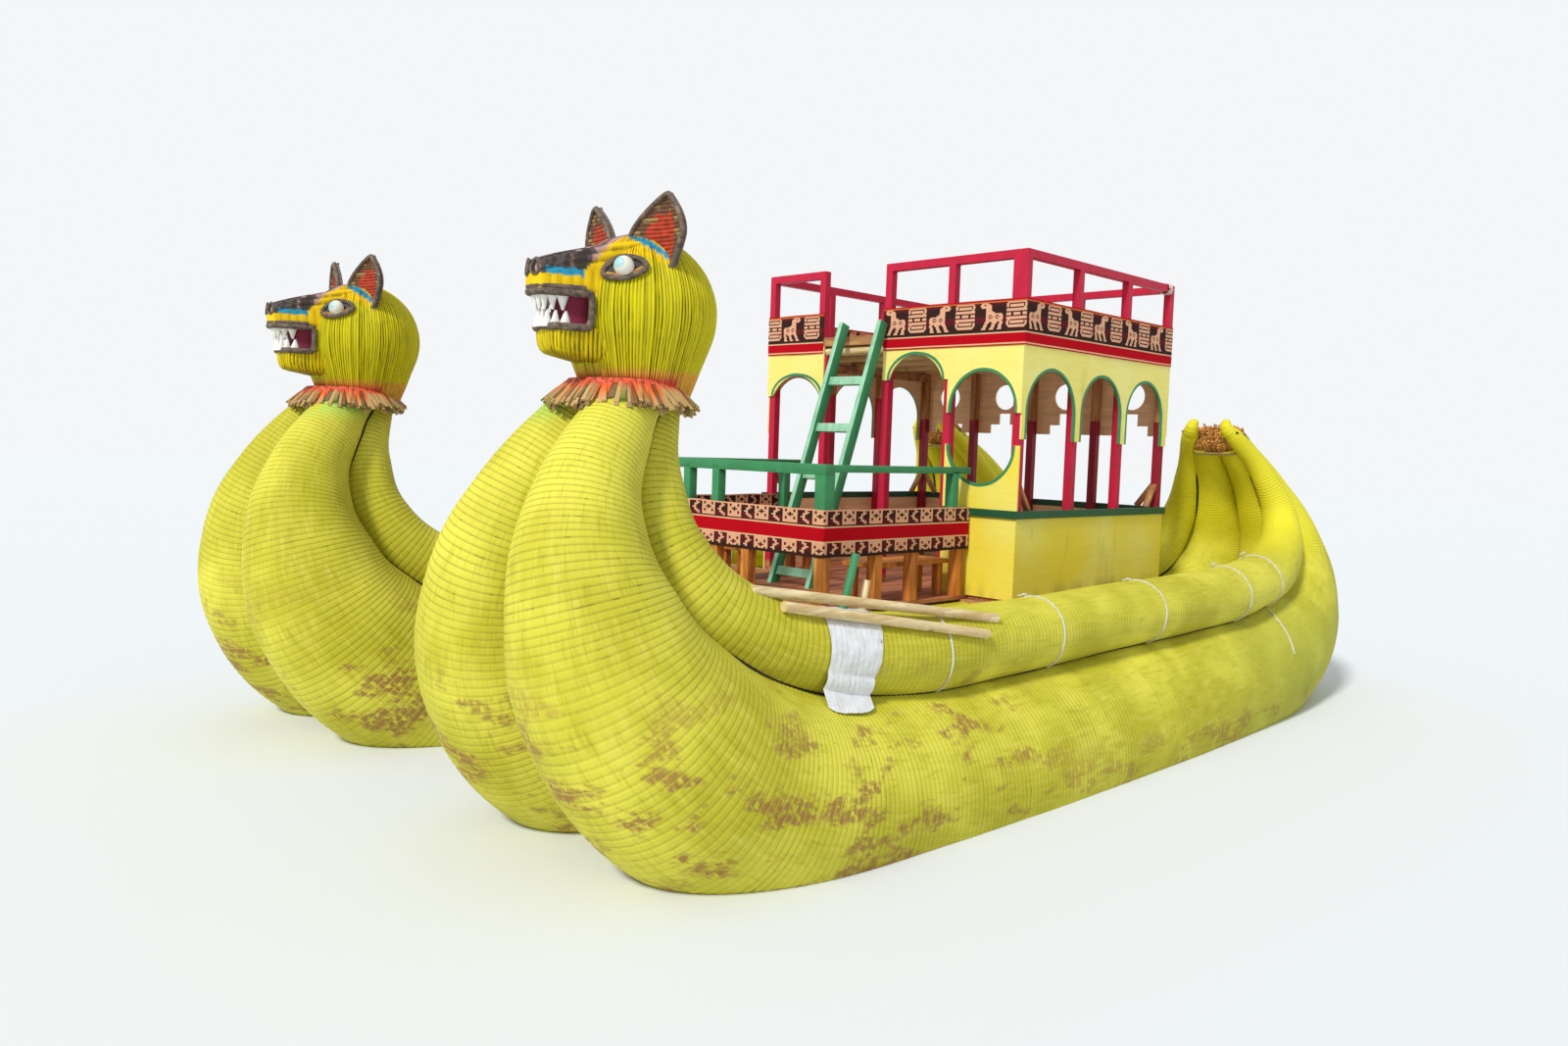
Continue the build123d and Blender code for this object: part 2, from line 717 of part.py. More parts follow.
DECK_PIECES = {
    "cross_beams": cross_beams,
    "poles": poles,
    "roll_wrap": roll_wrap,
    "stakes": stakes,
    "fore_deck": fore_deck,
    "cabin_floor": cabin_floor,
    "port_lower_wall": port_lower_wall,
    "starboard_lower_wall": starboard_lower_wall,
    "aft_lower_wall": aft_lower_wall,
    "front_lower_wall": front_lower_wall,
    "sill_band": sill_band,
    "front_arches": front_arches,
    "port_arches": port_arches,
    "starboard_arches": starboard_arches,
    "aft_screen": aft_screen,
    "cabin_posts": cabin_posts,
    "roof_frame": roof_frame,
    "roof_joists": roof_joists,
    "upper_fascia": upper_fascia,
    "upper_boards": upper_boards,
    "upper_railing": upper_railing,
    "upper_cloth": upper_cloth,
    "pen_cloth": pen_cloth,
    "pen_fence": pen_fence,
    "pen_legs": pen_legs,
    "benches": benches,
    "ladder": ladder,
}
for name, piece in DECK_PIECES.items():
    piece.part.label = name
    export_step(piece.part, f"parts/{name}.step")
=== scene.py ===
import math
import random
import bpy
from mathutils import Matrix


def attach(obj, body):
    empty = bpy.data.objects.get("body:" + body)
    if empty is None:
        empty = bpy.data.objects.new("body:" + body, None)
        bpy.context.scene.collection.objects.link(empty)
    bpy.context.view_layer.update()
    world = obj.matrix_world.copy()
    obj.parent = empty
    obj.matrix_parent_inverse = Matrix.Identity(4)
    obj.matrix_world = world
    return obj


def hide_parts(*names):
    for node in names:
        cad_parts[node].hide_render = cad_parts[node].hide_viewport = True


bl_info = {
    "name": "Reed Boat",
    "version": (1, 0, 0),
    "blender": (4, 5, 0),
    "location": "View3D > Sidebar > Reed Boat",
    "description": "Dresses the reed boat: tied reed bundles, painted heads, cabin, woven cloth and ropes",
    "category": "Object",
}

import bpy
import numpy as np
from mathutils import Matrix, Vector, noise
from mathutils.bvhtree import BVHTree

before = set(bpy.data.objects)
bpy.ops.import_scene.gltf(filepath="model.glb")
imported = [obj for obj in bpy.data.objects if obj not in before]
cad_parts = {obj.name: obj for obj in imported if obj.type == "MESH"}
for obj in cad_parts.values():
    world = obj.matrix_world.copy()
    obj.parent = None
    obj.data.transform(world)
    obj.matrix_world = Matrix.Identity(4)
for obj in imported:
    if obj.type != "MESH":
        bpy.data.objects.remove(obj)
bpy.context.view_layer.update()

# Metres, the same frame as the model: bow towards -Y, port side +X, water at z 0
HULL_X = 1.611
NECK_TOP = 2.32
NECK_BEFORE = -2.0           # the bundles' necks are forward of this
CABIN_HALF = 1.4
CABIN_FRONT = 0.34
CABIN_BACK = 2.71
WALL = 0.016
SILL_TOP = 1.656
DECK_UNDER = 0.93
DECK_TOP = 0.96
PEN_HALF = 0.97
PEN_FRONT = -1.36
UPPER_CLOTH = (2.930, 3.283)    # foot and top
PEN_CLOTH = (1.330, 1.665)

# Arched openings: middle, half width, springing height, rise, foot
FRONT_BAYS = [(-1.025, 0.302, 2.556, 0.184, 2.556), (0.352, 0.282, 2.680, 0.210, 2.680),
              (1.034, 0.307, 2.432, 0.308, 2.410)]
SIDE_ARCHES = [(0.762, 0.341, 2.414, 0.341), (1.536, 0.312, 2.443, 0.312), (2.278, 0.311, 2.444, 0.311)]
SIDE_FOOT = 2.210
ROUND_Z = 2.160              # centre of the round opening's lower half
LADDER_FOOT = (-0.190, -0.475, 0.976)    # on the middle line of its stiles
LADDER_TOP = (-0.190, 0.285, 3.166)
LADDER_STEPS = (1.10, 1.50, 1.90, 2.30, 2.70)
ROPE_PLACES = (-1.85, -0.73, 0.575, 1.99, 2.68)
ROPE_R = 0.0065
# The seam cords are near-black: painted shadow along the creases where rolls lie on bundles
SEAM_R = 0.013
SEAM_OUT = 0.005             # a seam cord's middle stands this far off the bundle
STERN_REEDS = 900
SHEET_LONG = 0.75
SHEET_ENDS = (-2.790, -2.390)    # front and back edge on top of the roll
STAKE_CHANGE = -2.400        # between the painted stake and the bare one
RAIL_TIE = (1.367, 2.62, 3.624)
FENCE_FOOT = 1.46
FENCE_TOP = 1.98
BRACE_HIGH = 0.200
BRACE_REACH = (0.180, 0.030)    # from the post, at its foot and its head

# The camera stands at the port bow
CAMERA_PLACE = (6.2995, -7.0683, 2.10)
CAMERA_HEADING = 45.0526    # degrees, turned from straight ahead towards starboard
CAMERA_DIP = 3.9073
CAMERA_ROLL = 1.9623
CAMERA_LENS = 26.014        # on a sensor 36 mm wide
SUN_FROM = Vector((0.16, -0.90, 0.85))

# Reed bundles: out from the hull's centre plane, along, up, radius
BUNDLE = [
    (0.125, -3.485, 2.475, 0.135),
    (0.175, -3.745, 2.160, 0.190),
    (0.265, -3.980, 1.740, 0.285),
    (0.390, -4.015, 1.275, 0.410),
    (0.495, -3.790, 0.775, 0.530),
    (0.545, -3.195, 0.340, 0.590),
    (0.570, -2.090, 0.145, 0.610),
    (0.585, -0.280, 0.145, 0.628),
    (0.580, 1.450, 0.210, 0.626),
    (0.555, 2.885, 0.335, 0.595),
    (0.485, 3.755, 0.715, 0.520),
    (0.360, 4.050, 1.230, 0.390),
    (0.230, 3.850, 1.775, 0.247),
    (0.130, 3.315, 2.280, 0.138),
]
OUTER_ROLL = [
    (0.050, -3.350, 2.400, 0.100),
    (0.072, -3.410, 2.245, 0.119),
    (0.170, -3.525, 1.890, 0.170),
    (0.315, -3.485, 1.495, 0.212),
    (0.480, -3.135, 1.145, 0.235),
    (0.595, -2.365, 0.960, 0.244),
    (0.660, -1.190, 0.935, 0.238),
    (0.695, 0.085, 0.970, 0.232),
    (0.725, 1.310, 0.995, 0.230),
    (0.700, 2.425, 1.045, 0.229),
    (0.620, 3.260, 1.210, 0.215),
    (0.495, 3.630, 1.560, 0.158),
    (0.365, 3.495, 1.980, 0.105),
    (0.205, 3.165, 2.330, 0.074),
    (0.172, 3.115, 2.380, 0.062),
    (0.158, 3.110, 2.422, 0.050),
    (0.152, 3.142, 2.440, 0.038),
    (0.150, 3.172, 2.428, 0.022),
]
INNER_ROLL = OUTER_ROLL[:5] + [
    (0.580, -2.400, 0.945, 0.238),
    (0.610, -1.450, 0.730, 0.190),
    (0.610, -0.400, 0.725, 0.190),
    (0.610, 1.200, 0.725, 0.190),
    (0.610, 2.600, 0.725, 0.190),
    (0.610, 3.150, 0.960, 0.205),
] + OUTER_ROLL[11:]

random.seed(7)


def srgb(text):
    """A colour written as a painter's hex value, as linear light."""
    parts = [int(text[i:i + 2], 16) / 255 for i in (0, 2, 4)]
    return tuple(p / 12.92 if p <= 0.04045 else ((p + 0.055) / 1.055) ** 2.4 for p in parts)


def tone_of(colour, share):
    return [c * share for c in colour]


def paint_setting(name, value):
    return bpy.props.FloatVectorProperty(name=name, description=f"Colour of the {name.lower()}",
                                         subtype="COLOR", size=3, min=0.0, max=1.0, default=srgb(value))


def length_setting(name, description, default, low=0.0005):
    return bpy.props.FloatProperty(name=name, description=description, default=default, min=low,
                                   subtype="DISTANCE", unit="LENGTH", precision=4)


class HullSettings(bpy.types.PropertyGroup):
    """Reed bundles, rolls and what is tied to them."""
    thin_pitch: length_setting("Cords at the tips", "Space between cords where a bundle is thinnest", 0.024)
    thick_pitch: length_setting("Cords amidships", "Space between cords where a bundle is thickest", 0.038)
    cord_relief: length_setting("Cord bite", "How far a cord pulls in, as a share of the radius", 0.007)
    reed_light: paint_setting("Sunlit reed", "dcd64a")
    reed_dark: paint_setting("Deep reed", "bab42a")
    reed_straw: paint_setting("Dry stems", "e2d765")
    reed_shade: paint_setting("Shaded stems", "98930c")
    # the cords' colour, which also paints the shade in their grooves
    cord_line: paint_setting("Cords", "76701a")
    scuff: paint_setting("Scuffed patches", "96683c")
    # painted light on the upper reed towards the stern tips
    fresh: paint_setting("Painted light at the stern tips", "ece21a")
    # a darker olive tone for the reed low down aft
    olive: paint_setting("Darker reed low down aft", "9aa03c")
    dye: paint_setting("Green dye below the collar", "86cc62")
    cut_dark: paint_setting("Cut reed sides", "94662c")
    cut_pale: paint_setting("Cut reed ends", "d89c54")
    rope: paint_setting("White rope", "e6e4da")
    wrap: paint_setting("White wrap", "e4e6e8")


class HeadSettings(bpy.types.PropertyGroup):
    """Heads, ears, eyes, teeth and collars."""
    head_reed: paint_setting("Head reed", "cdc306")
    head_yellow: paint_setting("Yellow bands", "f0c800")
    head_blue: paint_setting("Blue bands", "2496be")
    head_pink: paint_setting("Pale streaks", "c79a98")
    head_grey: paint_setting("Snout strips", "4d4446")
    head_red: paint_setting("Neck band", "d8553f")
    head_orange: paint_setting("Neck edge", "dfa63c")
    # painted shade in the gaps between reeds
    gap_dark: paint_setting("Gaps between reeds", "3d3510")
    mouth: paint_setting("Mouth", "7c1f38")
    lip: paint_setting("Lips and rims", "6a5a4c")
    lid: paint_setting("Lower lids", "b98432")
    ear_red: paint_setting("Inside of the ears", "c8442a")
    ear_tan: paint_setting("Pale ear reeds", "a98a5a")
    ear_brown: paint_setting("Dark ear reeds", "6b4a35")
    eye_white: paint_setting("Eyeballs", "e4e0d2")
    eye_blue: paint_setting("Eye tint", "9fd0d4")
    # near-black of the eye sockets and nostril holes, painted shade of these hollows
    socket: paint_setting("Eye sockets", "0c0808")
    tooth: paint_setting("Teeth", "f2efe6")
    collar_orange: paint_setting("Middle of the collar", "d9672f")
    collar_tan: paint_setting("Collar ends", "b99a68")
    collar_green: paint_setting("Green collar ends", "7f8f3c")


class CabinSettings(bpy.types.PropertyGroup):
    """Paint and timber of the cabin, decks, fence and ladder."""
    trim_width: length_setting("Arch edging", "Width of the painted edge round an arch", 0.022)
    wall_yellow: paint_setting("Wall paint", "eedb44")
    wall_pale: paint_setting("Faded wall paint", "f0e678")
    # paler paint higher up the walls, partly a painted highlight
    wall_upper: paint_setting("Upper wall paint and highlight", "f2eea4")
    wall_bare: paint_setting("Bare plywood", "fbd3a2")
    trim_green: paint_setting("Arch edging", "3f8a5c")
    sill_green: paint_setting("Sill", "1e5636")
    fence_green: paint_setting("Fence", "3c8c5c")
    # paler paint of the ladder's faces, also standing as painted light against its darker sides
    ladder_mint: paint_setting("Ladder faces", "98caaa")
    crimson: paint_setting("Posts and railing", "c4163c")
    crimson_worn: paint_setting("Worn crimson", "8c2a34")
    timber_pale: paint_setting("Bare timber", "c8935c")
    timber_dark: paint_setting("Bare timber grain", "8a5630")
    leg_pale: paint_setting("Weathered legs", "ee983c")
    leg_dark: paint_setting("Weathered leg grain", "94501f")
    deck_pale: paint_setting("Deck boards", "cf8658")
    deck_dark: paint_setting("Deck grain", "8c4a30")
    pole_pale: paint_setting("Poles", "f0dfb0")
    pole_dark: paint_setting("Pole bark", "c4a268")


class ClothSettings(bpy.types.PropertyGroup):
    """Woven bands on the upper deck and on the fence."""
    knot: length_setting("Knot", "Width and height of one woven knot", 0.0105, 0.008)
    cloth_dark: paint_setting("Dark threads", "3a2420")
    cloth_brown: paint_setting("Maroon threads", "5e2026")
    cloth_red: paint_setting("Red stripe", "c2061c")
    cloth_tan: paint_setting("Figures", "ecb492")
    cloth_cream: paint_setting("Cream lines", "ecc49a")
    cloth_orange: paint_setting("Orange lines", "c9773a")


class StageSettings(bpy.types.PropertyGroup):
    """Floor, light and camera."""
    floor: paint_setting("Floor", "dfe3e6")
    sky: paint_setting("Background", "f4f6f8")
    sun: bpy.props.FloatProperty(name="Sun", description="Strength of the sun lamp", default=2.7, min=0)
    world: bpy.props.FloatProperty(name="Sky light", description="Strength of the light from all round",
                                   default=0.64, min=0)


class Wire:
    """A shader socket that takes part in sums."""

    def __init__(self, shader, socket):
        self.shader = shader
        self.socket = socket

    def __add__(self, other):
        return self.shader.sum("ADD", self, other)

    def __sub__(self, other):
        return self.shader.sum("SUBTRACT", self, other)

    def __rsub__(self, other):
        return self.shader.sum("SUBTRACT", other, self)

    def __mul__(self, other):
        return self.shader.sum("MULTIPLY", self, other)

    def __truediv__(self, other):
        return self.shader.sum("DIVIDE", self, other)

    def __abs__(self):
        return self.shader.sum("ABSOLUTE", self)

    def __gt__(self, other):
        return self.shader.sum("GREATER_THAN", self, other)

    __radd__ = __add__
    __rmul__ = __mul__


class Shader:
    """One material and the nodes behind its surface."""

    def __init__(self, name):
        self.material = bpy.data.materials.new(name)
        self.material.use_nodes = True
        self.tree = self.material.node_tree
        self.surface = self.tree.nodes["Principled BSDF"]

    def node(self, kind, settings, sockets, output=0):
        made = self.tree.nodes.new("ShaderNode" + kind)
        for key, value in settings.items():
            setattr(made, key, value)
        for key, value in sockets.items():
            self.feed(made.inputs[key], value)
        return Wire(self, made.outputs[output])

    def feed(self, socket, value):
        if isinstance(value, Wire):
            self.tree.links.new(value.socket, socket)
        elif hasattr(value, "__len__") and len(value) == 3 and socket.type == "RGBA":
            socket.default_value = (*value, 1)
        else:
            socket.default_value = value

    def sum(self, operation, a, b=None):
        sockets = {0: a} if b is None else {0: a, 1: b}
        return self.node("Math", {"operation": operation}, sockets)

    def mix(self, share, a, b, blend="MIX"):
        settings = {"data_type": "RGBA", "blend_type": blend, "clamp_factor": True}
        return self.node("Mix", settings, {0: share, 6: a, 7: b}, output=2)

    def coat(self, under, over, share, field, low, high, blend="MIX"):
        """A second colour over the first, where the field is between low and high or past them."""
        return self.mix(self.step(field, low, high) * share, under, over, blend)

    def step(self, value, low, high):
        """0 below low, 1 above high, smooth between them."""
        settings = {"interpolation_type": "SMOOTHSTEP"}
        return self.node("MapRange", settings, {0: value, 1: low, 2: high, 3: 0.0, 4: 1.0})

    def place(self):
        return self.node("TexCoord", {}, {}, output="Object")

    def uv(self):
        return self.node("TexCoord", {}, {}, output="UV")

    def axes(self, vector):
        split = self.node("SeparateXYZ", {}, {0: vector}).socket.node
        return [Wire(self, socket) for socket in split.outputs]

    def vector(self, x=0.0, y=0.0, z=0.0):
        return self.node("CombineXYZ", {}, {0: x, 1: y, 2: z})

    def stretch(self, vector, scale):
        return self.node("Mapping", {}, {"Vector": vector, "Scale": scale})

    def noise(self, vector, scale, detail=3.0, rough=0.5):
        sockets = {"Vector": vector, "Scale": scale, "Detail": detail, "Roughness": rough}
        return self.node("TexNoise", {}, sockets)

    def streaks(self, vector, scales, detail, rough=0.5):
        """Noise drawn out along one way, with its own scale on each axis."""
        return self.noise(self.stretch(vector, scales), 1.0, detail, rough)

    def attribute(self, name, output="Fac"):
        return self.node("Attribute", {"attribute_name": name}, {}, output=output)

    def set(self, **values):
        for name, value in values.items():
            self.feed(self.surface.inputs[name.replace("_", " ")], value)

    def finish(self, colour, rough, height, depth, strength, **more):
        """The material, with its colour, its roughness and its relief in metres."""
        self.set(Base_Color=colour, Roughness=rough, **more)
        self.set(Normal=self.node("Bump", {}, {"Height": height, "Distance": depth, "Strength": strength}))
        return self.material


def hull_reed(look):
    """Green reed under thin cords: a dark line at each cord, partly the cord's own colour and partly painted
    shade in its groove, fine stems between, scuffs low at the bow.
    """
    s = Shader("hull_reed")
    place = s.place()
    u, v, _ = s.axes(s.uv())
    x, y, z = s.axes(place)
    off_cord = abs(s.sum("FRACT", v + 0.5) - 0.5)
    stems = s.noise(s.vector(u * 170.0, v * 0.22), 1.0, 2.0)
    tone = s.noise(place, 1.6, 3.0)
    colour = s.mix(s.step(tone, 0.35, 0.68), look.reed_dark, look.reed_light)
    colour = s.coat(colour, look.reed_straw, 0.35, stems, 0.52, 0.78)
    colour = s.coat(colour, look.reed_shade, 0.35, stems, 0.46, 0.26)
    broad = s.noise(s.vector(u * 52.0, v * 0.12), 1.0, 3.0, 0.6)
    colour = s.coat(colour, look.reed_shade, 0.30, broad, 0.55, 0.70)
    colour = s.coat(colour, look.reed_straw, 0.22, broad, 0.46, 0.34)
    cord = s.step(off_cord, 0.17, 0.02)
    each = s.noise(s.vector(s.sum("FLOOR", v + 0.5) * 0.37, 0.5), 1.0, 0.0)
    knots = s.noise(s.vector(u * 38.0, v * 1.3), 1.0, 2.0)
    fade = s.noise(place, 1.1, 2.0)
    some = s.step(each, 0.50, 0.62) * s.step(fade, 0.40, 0.58)
    tight = 0.32 + 0.68 * s.sum("MAXIMUM", s.step(z, 0.95, 1.45), some)
    # The dark line at each cord: the cord's own colour, and painted shade in its groove
    colour = s.mix(cord * tight * (0.42 + 0.5 * s.step(knots, 0.58, 0.7)), colour, look.cord_line)
    inner = s.step(abs(x), HULL_X - 0.02, HULL_X - 0.10)
    dye = s.noise(place, 6.0, 3.0)
    dyed = inner * s.step(z, 2.13, 2.30) * s.step(y, -3.40, -3.62) * s.step(dye, 0.32, 0.5)
    colour = s.mix(dyed * 0.6, colour, look.dye)
    # Painted light: the upper reed towards the stern tips is brightened as if lit by the sun
    tip = s.step(y, 2.5, 3.1) * s.step(z, 1.05, 1.6)
    colour = s.mix(tip * 0.55, colour, look.fresh)
    # Darker, more olive reed low down aft
    low_aft_darkening = s.step(y, 0.6, 2.6) * s.step(z, 1.10, 0.60)
    colour = s.mix(low_aft_darkening * 0.55, colour, look.olive)
    low_bow = s.step(y, -0.6, -1.8) * s.step(z, 1.25, 0.55)
    low_side = s.step(z, 0.42, 0.10) * 0.7
    scuff = s.noise(s.stretch(place, (1.0, 1.0, 2.2)), 2.3, 5.0, 0.62)
    fleck = s.noise(s.vector(u * 110.0, v * 0.9), 1.0, 3.0)
    region = s.sum("MAXIMUM", low_bow, low_side)
    worn = s.step(scuff, 0.515, 0.60) * s.step(fleck, 0.34, 0.52) * region * (1.0 - cord * 0.6)
    colour = s.mix(worn * 0.85, colour, look.scuff)
    bare = s.noise(place, 5.5, 4.0, 0.6)
    colour = s.coat(colour, look.scuff, 0.6, bare, 0.70, 0.76)
    return s.finish(colour, 0.66, stems * 0.4 + broad * 0.6 + s.step(off_cord, 0.0, 0.3), 0.004, 0.6,
                    Specular_IOR_Level=0.25)


def painted_reed(name, gap_colour):
    """Reeds painted by hand: the colour is on the mesh, with dark gaps between the stems, painted shade."""
    s = Shader(name)
    place = s.place()
    paint = s.attribute("paint", "Color")
    gap = s.attribute("gap")
    streak = s.streaks(place, (60.0, 60.0, 5.0), 3.0)
    patch = s.noise(place, 7.0, 3.0)
    colour = s.coat(paint, (1.0, 1.0, 0.80), 0.30, streak, 0.40, 0.72, blend="MULTIPLY")
    colour = s.coat(colour, (0.62, 0.58, 0.40), 0.45, streak, 0.48, 0.30, blend="MULTIPLY")
    colour = s.coat(colour, (0.80, 0.72, 0.45), 0.25, patch, 0.50, 0.70, blend="MULTIPLY")
    dirt_and_gap_shade = s.streaks(place, (25.0, 25.0, 4.0), 2.0)
    # Painted shade: the gaps between stems go dark, in patches
    colour = s.mix(gap * s.step(dirt_and_gap_shade, 0.30, 0.55), colour, gap_colour)
    return s.finish(colour, 0.6, streak - gap, 0.004, 0.5, Specular_IOR_Level=0.25)


def bark(name, colour):
    """Bark that rims are bound with: short dark splits and paler worn spots."""
    s = Shader(name)
    place = s.place()
    split = s.streaks(place, (34.0, 34.0, 60.0), 4.0, 0.65)
    spot = s.noise(place, 22.0, 3.0)
    tone = s.coat(colour, tone_of(colour, 0.28), 0.75, split, 0.54, 0.40)
    tone = s.coat(tone, [min(1.0, c * 2.3) for c in colour], 0.6, spot, 0.54, 0.72)
    return s.finish(tone, 0.72, split + spot * 0.5, 0.005, 0.7)


def painted_wood(name, colour, worn_colour, grain_way=(16.0, 16.0, 3.0), wear=0.66, lit_face_paint=None):
    """Brushed paint over timber, thin in places, with the grain showing through."""
    s = Shader(name)
    place = s.place()
    grain = s.streaks(place, grain_way, 4.0, 0.6)
    patch = s.noise(place, 3.0, 4.0, 0.6)
    base = colour
    if lit_face_paint is not None:
        # Faces turned to either side keep the darker green, all others take the paler face colour: partly the
        # ladder's paler paint, partly painted light with the sides in painted shade
        normal = s.node("NewGeometry", {}, {}, output="Normal")
        nx = abs(s.axes(normal)[0])
        base = s.mix(s.step(nx, 0.6, 0.4), colour, lit_face_paint)
    tone = s.coat(base, tone_of(colour, 0.55), 0.35, grain, 0.35, 0.70)
    tone = s.coat(tone, worn_colour, 0.30, patch, 0.52, 0.72)
    chips = s.noise(place, 26.0, 3.0, 0.7)
    tone = s.coat(tone, worn_colour, 0.8, chips, wear, wear + 0.05)
    return s.finish(tone, 0.52, grain, 0.0015, 0.5, Specular_IOR_Level=0.3)


def plain_wood(name, light, dark, stretch=(20.0, 20.0, 2.0), rough=0.7, board=0.0):
    """Unpainted timber, with grain along its length, a few knots, and boards of differing tone."""
    s = Shader(name)
    place = s.place()
    wobble = s.noise(place, 1.5, 2.0)
    grain = s.streaks(place, stretch, 5.0, 0.62)
    rings = s.sum("SINE", (grain + wobble * 0.6) * 24.0)
    colour = s.mix(s.step(grain, 0.30, 0.72), dark, light)
    colour = s.coat(colour, tone_of(dark, 0.6), 0.28, rings, 0.3, 1.0)
    knot = s.noise(place, 4.3, 1.0)
    colour = s.coat(colour, tone_of(dark, 0.35), 0.7, knot, 0.74, 0.78)
    if board:
        number = s.sum("FLOOR", s.axes(place)[0] / board + 0.5)
        tint = s.noise(s.vector(number * 3.7, 0.5, 0.5), 1.0, 0.0)
        colour = s.coat(colour, (0.62, 0.55, 0.5), 0.45, tint, 0.35, 0.65, blend="MULTIPLY")
    return s.finish(colour, rough, grain, 0.002, 0.5)


def stake_finish(look):
    """The forward stake is painted green and the after one is bare."""
    s = Shader("stake_finish")
    place = s.place()
    y = s.axes(place)[1]
    grain = s.streaks(place, (30.0, 30.0, 3.0), 4.0, 0.6)
    green = s.coat(look.fence_green, tone_of(look.fence_green, 0.5), 0.4, grain, 0.35, 0.65)
    bare = s.mix(s.step(grain, 0.35, 0.65), look.pole_dark, look.pole_pale)
    colour = s.mix(s.step(y, STAKE_CHANGE - 0.002, STAKE_CHANGE + 0.002), green, bare)
    return s.finish(colour, 0.6, grain, 0.002, 0.6)


def post_finish(look):
    """Crimson posts, bare above the paint line at the after end and worn at the foot."""
    s = Shader("post_finish")
    place = s.place()
    x, y, z = s.axes(place)
    grain = s.streaks(place, (22.0, 22.0, 2.0), 4.0, 0.6)
    patch = s.noise(place, 3.4, 4.0, 0.6)
    ragged = z + s.noise(place, 14.0, 2.0) * 0.03
    red = s.coat(look.crimson, look.crimson_worn, 0.5, patch, 0.45, 0.70)
    red = s.coat(red, tone_of(look.crimson, 0.5), 0.30, grain, 0.40, 0.72)
    wood = s.mix(s.step(grain, 0.32, 0.70), look.timber_dark, look.timber_pale)
    aft = s.step(y, CABIN_BACK - 0.14, CABIN_BACK - 0.12)
    red = s.mix(aft * 0.55, red, tone_of(look.crimson_worn, 0.45))
    bare_top = aft * s.step(ragged, 2.440, 2.452)
    inside_top = s.step(ragged, 2.62, 2.64) * s.step(abs(x), CABIN_HALF - 0.12, CABIN_HALF - 0.11)
    bare = s.sum("MAXIMUM", bare_top, inside_top)
    foot = s.step(z + patch * 0.2, 1.16, 1.08) * s.step(patch, 0.42, 0.5)
    bare = s.sum("MAXIMUM", bare, foot)
    return s.finish(s.mix(bare, red, wood), 0.55, grain, 0.0015, 0.5, Specular_IOR_Level=0.3)


def wall_sheet(look):
    """Plywood, painted outside and bare inside the cabin."""
    s = Shader("wall_sheet")
    place = s.place()
    x, y, z = s.axes(place)
    middle = (CABIN_FRONT + CABIN_BACK) / 2
    half_length = (CABIN_BACK - CABIN_FRONT) / 2
    across = abs(x) > CABIN_HALF - WALL * 0.35
    along = abs(y - middle) > half_length - WALL * 0.35
    outside = s.sum("MAXIMUM", across, along)
    brush = s.streaks(place, (3.0, 3.0, 26.0), 3.0)
    cloudy = s.noise(place, 1.4, 3.0)
    paint = s.mix(s.step(cloudy, 0.35, 0.7), look.wall_yellow, look.wall_pale)
    # Paler higher up the walls: partly a paler paint, partly a painted highlight
    paint = s.coat(paint, look.wall_upper, 0.45, z, 2.1, 2.3)
    paint = s.coat(paint, tone_of(look.wall_yellow, 0.7), 0.16, brush, 0.45, 0.75)
    stain = s.streaks(place, (6.0, 6.0, 1.2), 4.0)
    paint = s.coat(paint, srgb("a89a3c"), 0.35, stain, 0.62, 0.80)
    # Darker in stained patches near the foot of the walls
    low_wall_darkening = s.step(z, 1.12, 0.97) * s.step(stain, 0.42, 0.62)
    paint = s.mix(low_wall_darkening * 0.5, paint, srgb("9a8a4a"))
    grain = s.streaks(place, (2.5, 2.5, 30.0), 5.0, 0.6)
    bare = s.mix(s.step(grain, 0.32, 0.7), tone_of(look.wall_bare, 0.8), look.wall_bare)
    return s.finish(s.mix(outside, bare, paint), 0.62, grain * 0.4 + brush * 0.6, 0.0012, 0.4,
                    Specular_IOR_Level=0.3)


def woven_cloth():
    """Woven band: the figures' colours are on the mesh, the threads are a fine rib, with painted shade
    between the ribs.
    """
    s = Shader("woven_cloth")
    u, v, _ = s.axes(s.uv())
    weft = s.sum("SINE", u * 1800.0)
    warp = s.sum("SINE", v * 1200.0)
    threads = s.noise(s.vector(u * 420.0, v * 60.0), 1.0, 2.0)
    paint = s.attribute("paint", "Color")
    colour = s.coat(paint, (0.60, 0.55, 0.55), 0.35, threads, 0.35, 0.70, blend="MULTIPLY")
    # Painted shade: darker in the troughs between the weft's ribs
    colour = s.coat(colour, (0.7, 0.65, 0.65), 0.22, weft, 0.1, -0.9, blend="MULTIPLY")
    return s.finish(colour, 0.92, weft * 0.5 + warp * 0.5 + threads, 0.0012, 0.6, Specular_IOR_Level=0.1)


def white_wrap(look):
    """Thin plastic sheet, creased, with painted shade along its creases, and a little soiled."""
    s = Shader("white_wrap")
    place = s.place()
    crease = s.streaks(place, (9.0, 9.0, 14.0), 6.0, 0.68)
    fine = s.noise(place, 42.0, 3.0)
    grime = s.noise(place, 6.0, 4.0)
    # Painted shade: darker along the creases
    tone = s.coat(look.wrap, tone_of(look.wrap, 0.72), 0.35, crease, 0.40, 0.60)
    tone = s.coat(tone, srgb("b9b7a2"), 0.35, grime, 0.58, 0.74)
    return s.finish(tone, 0.34, crease + fine * 0.15, 0.012, 0.7)


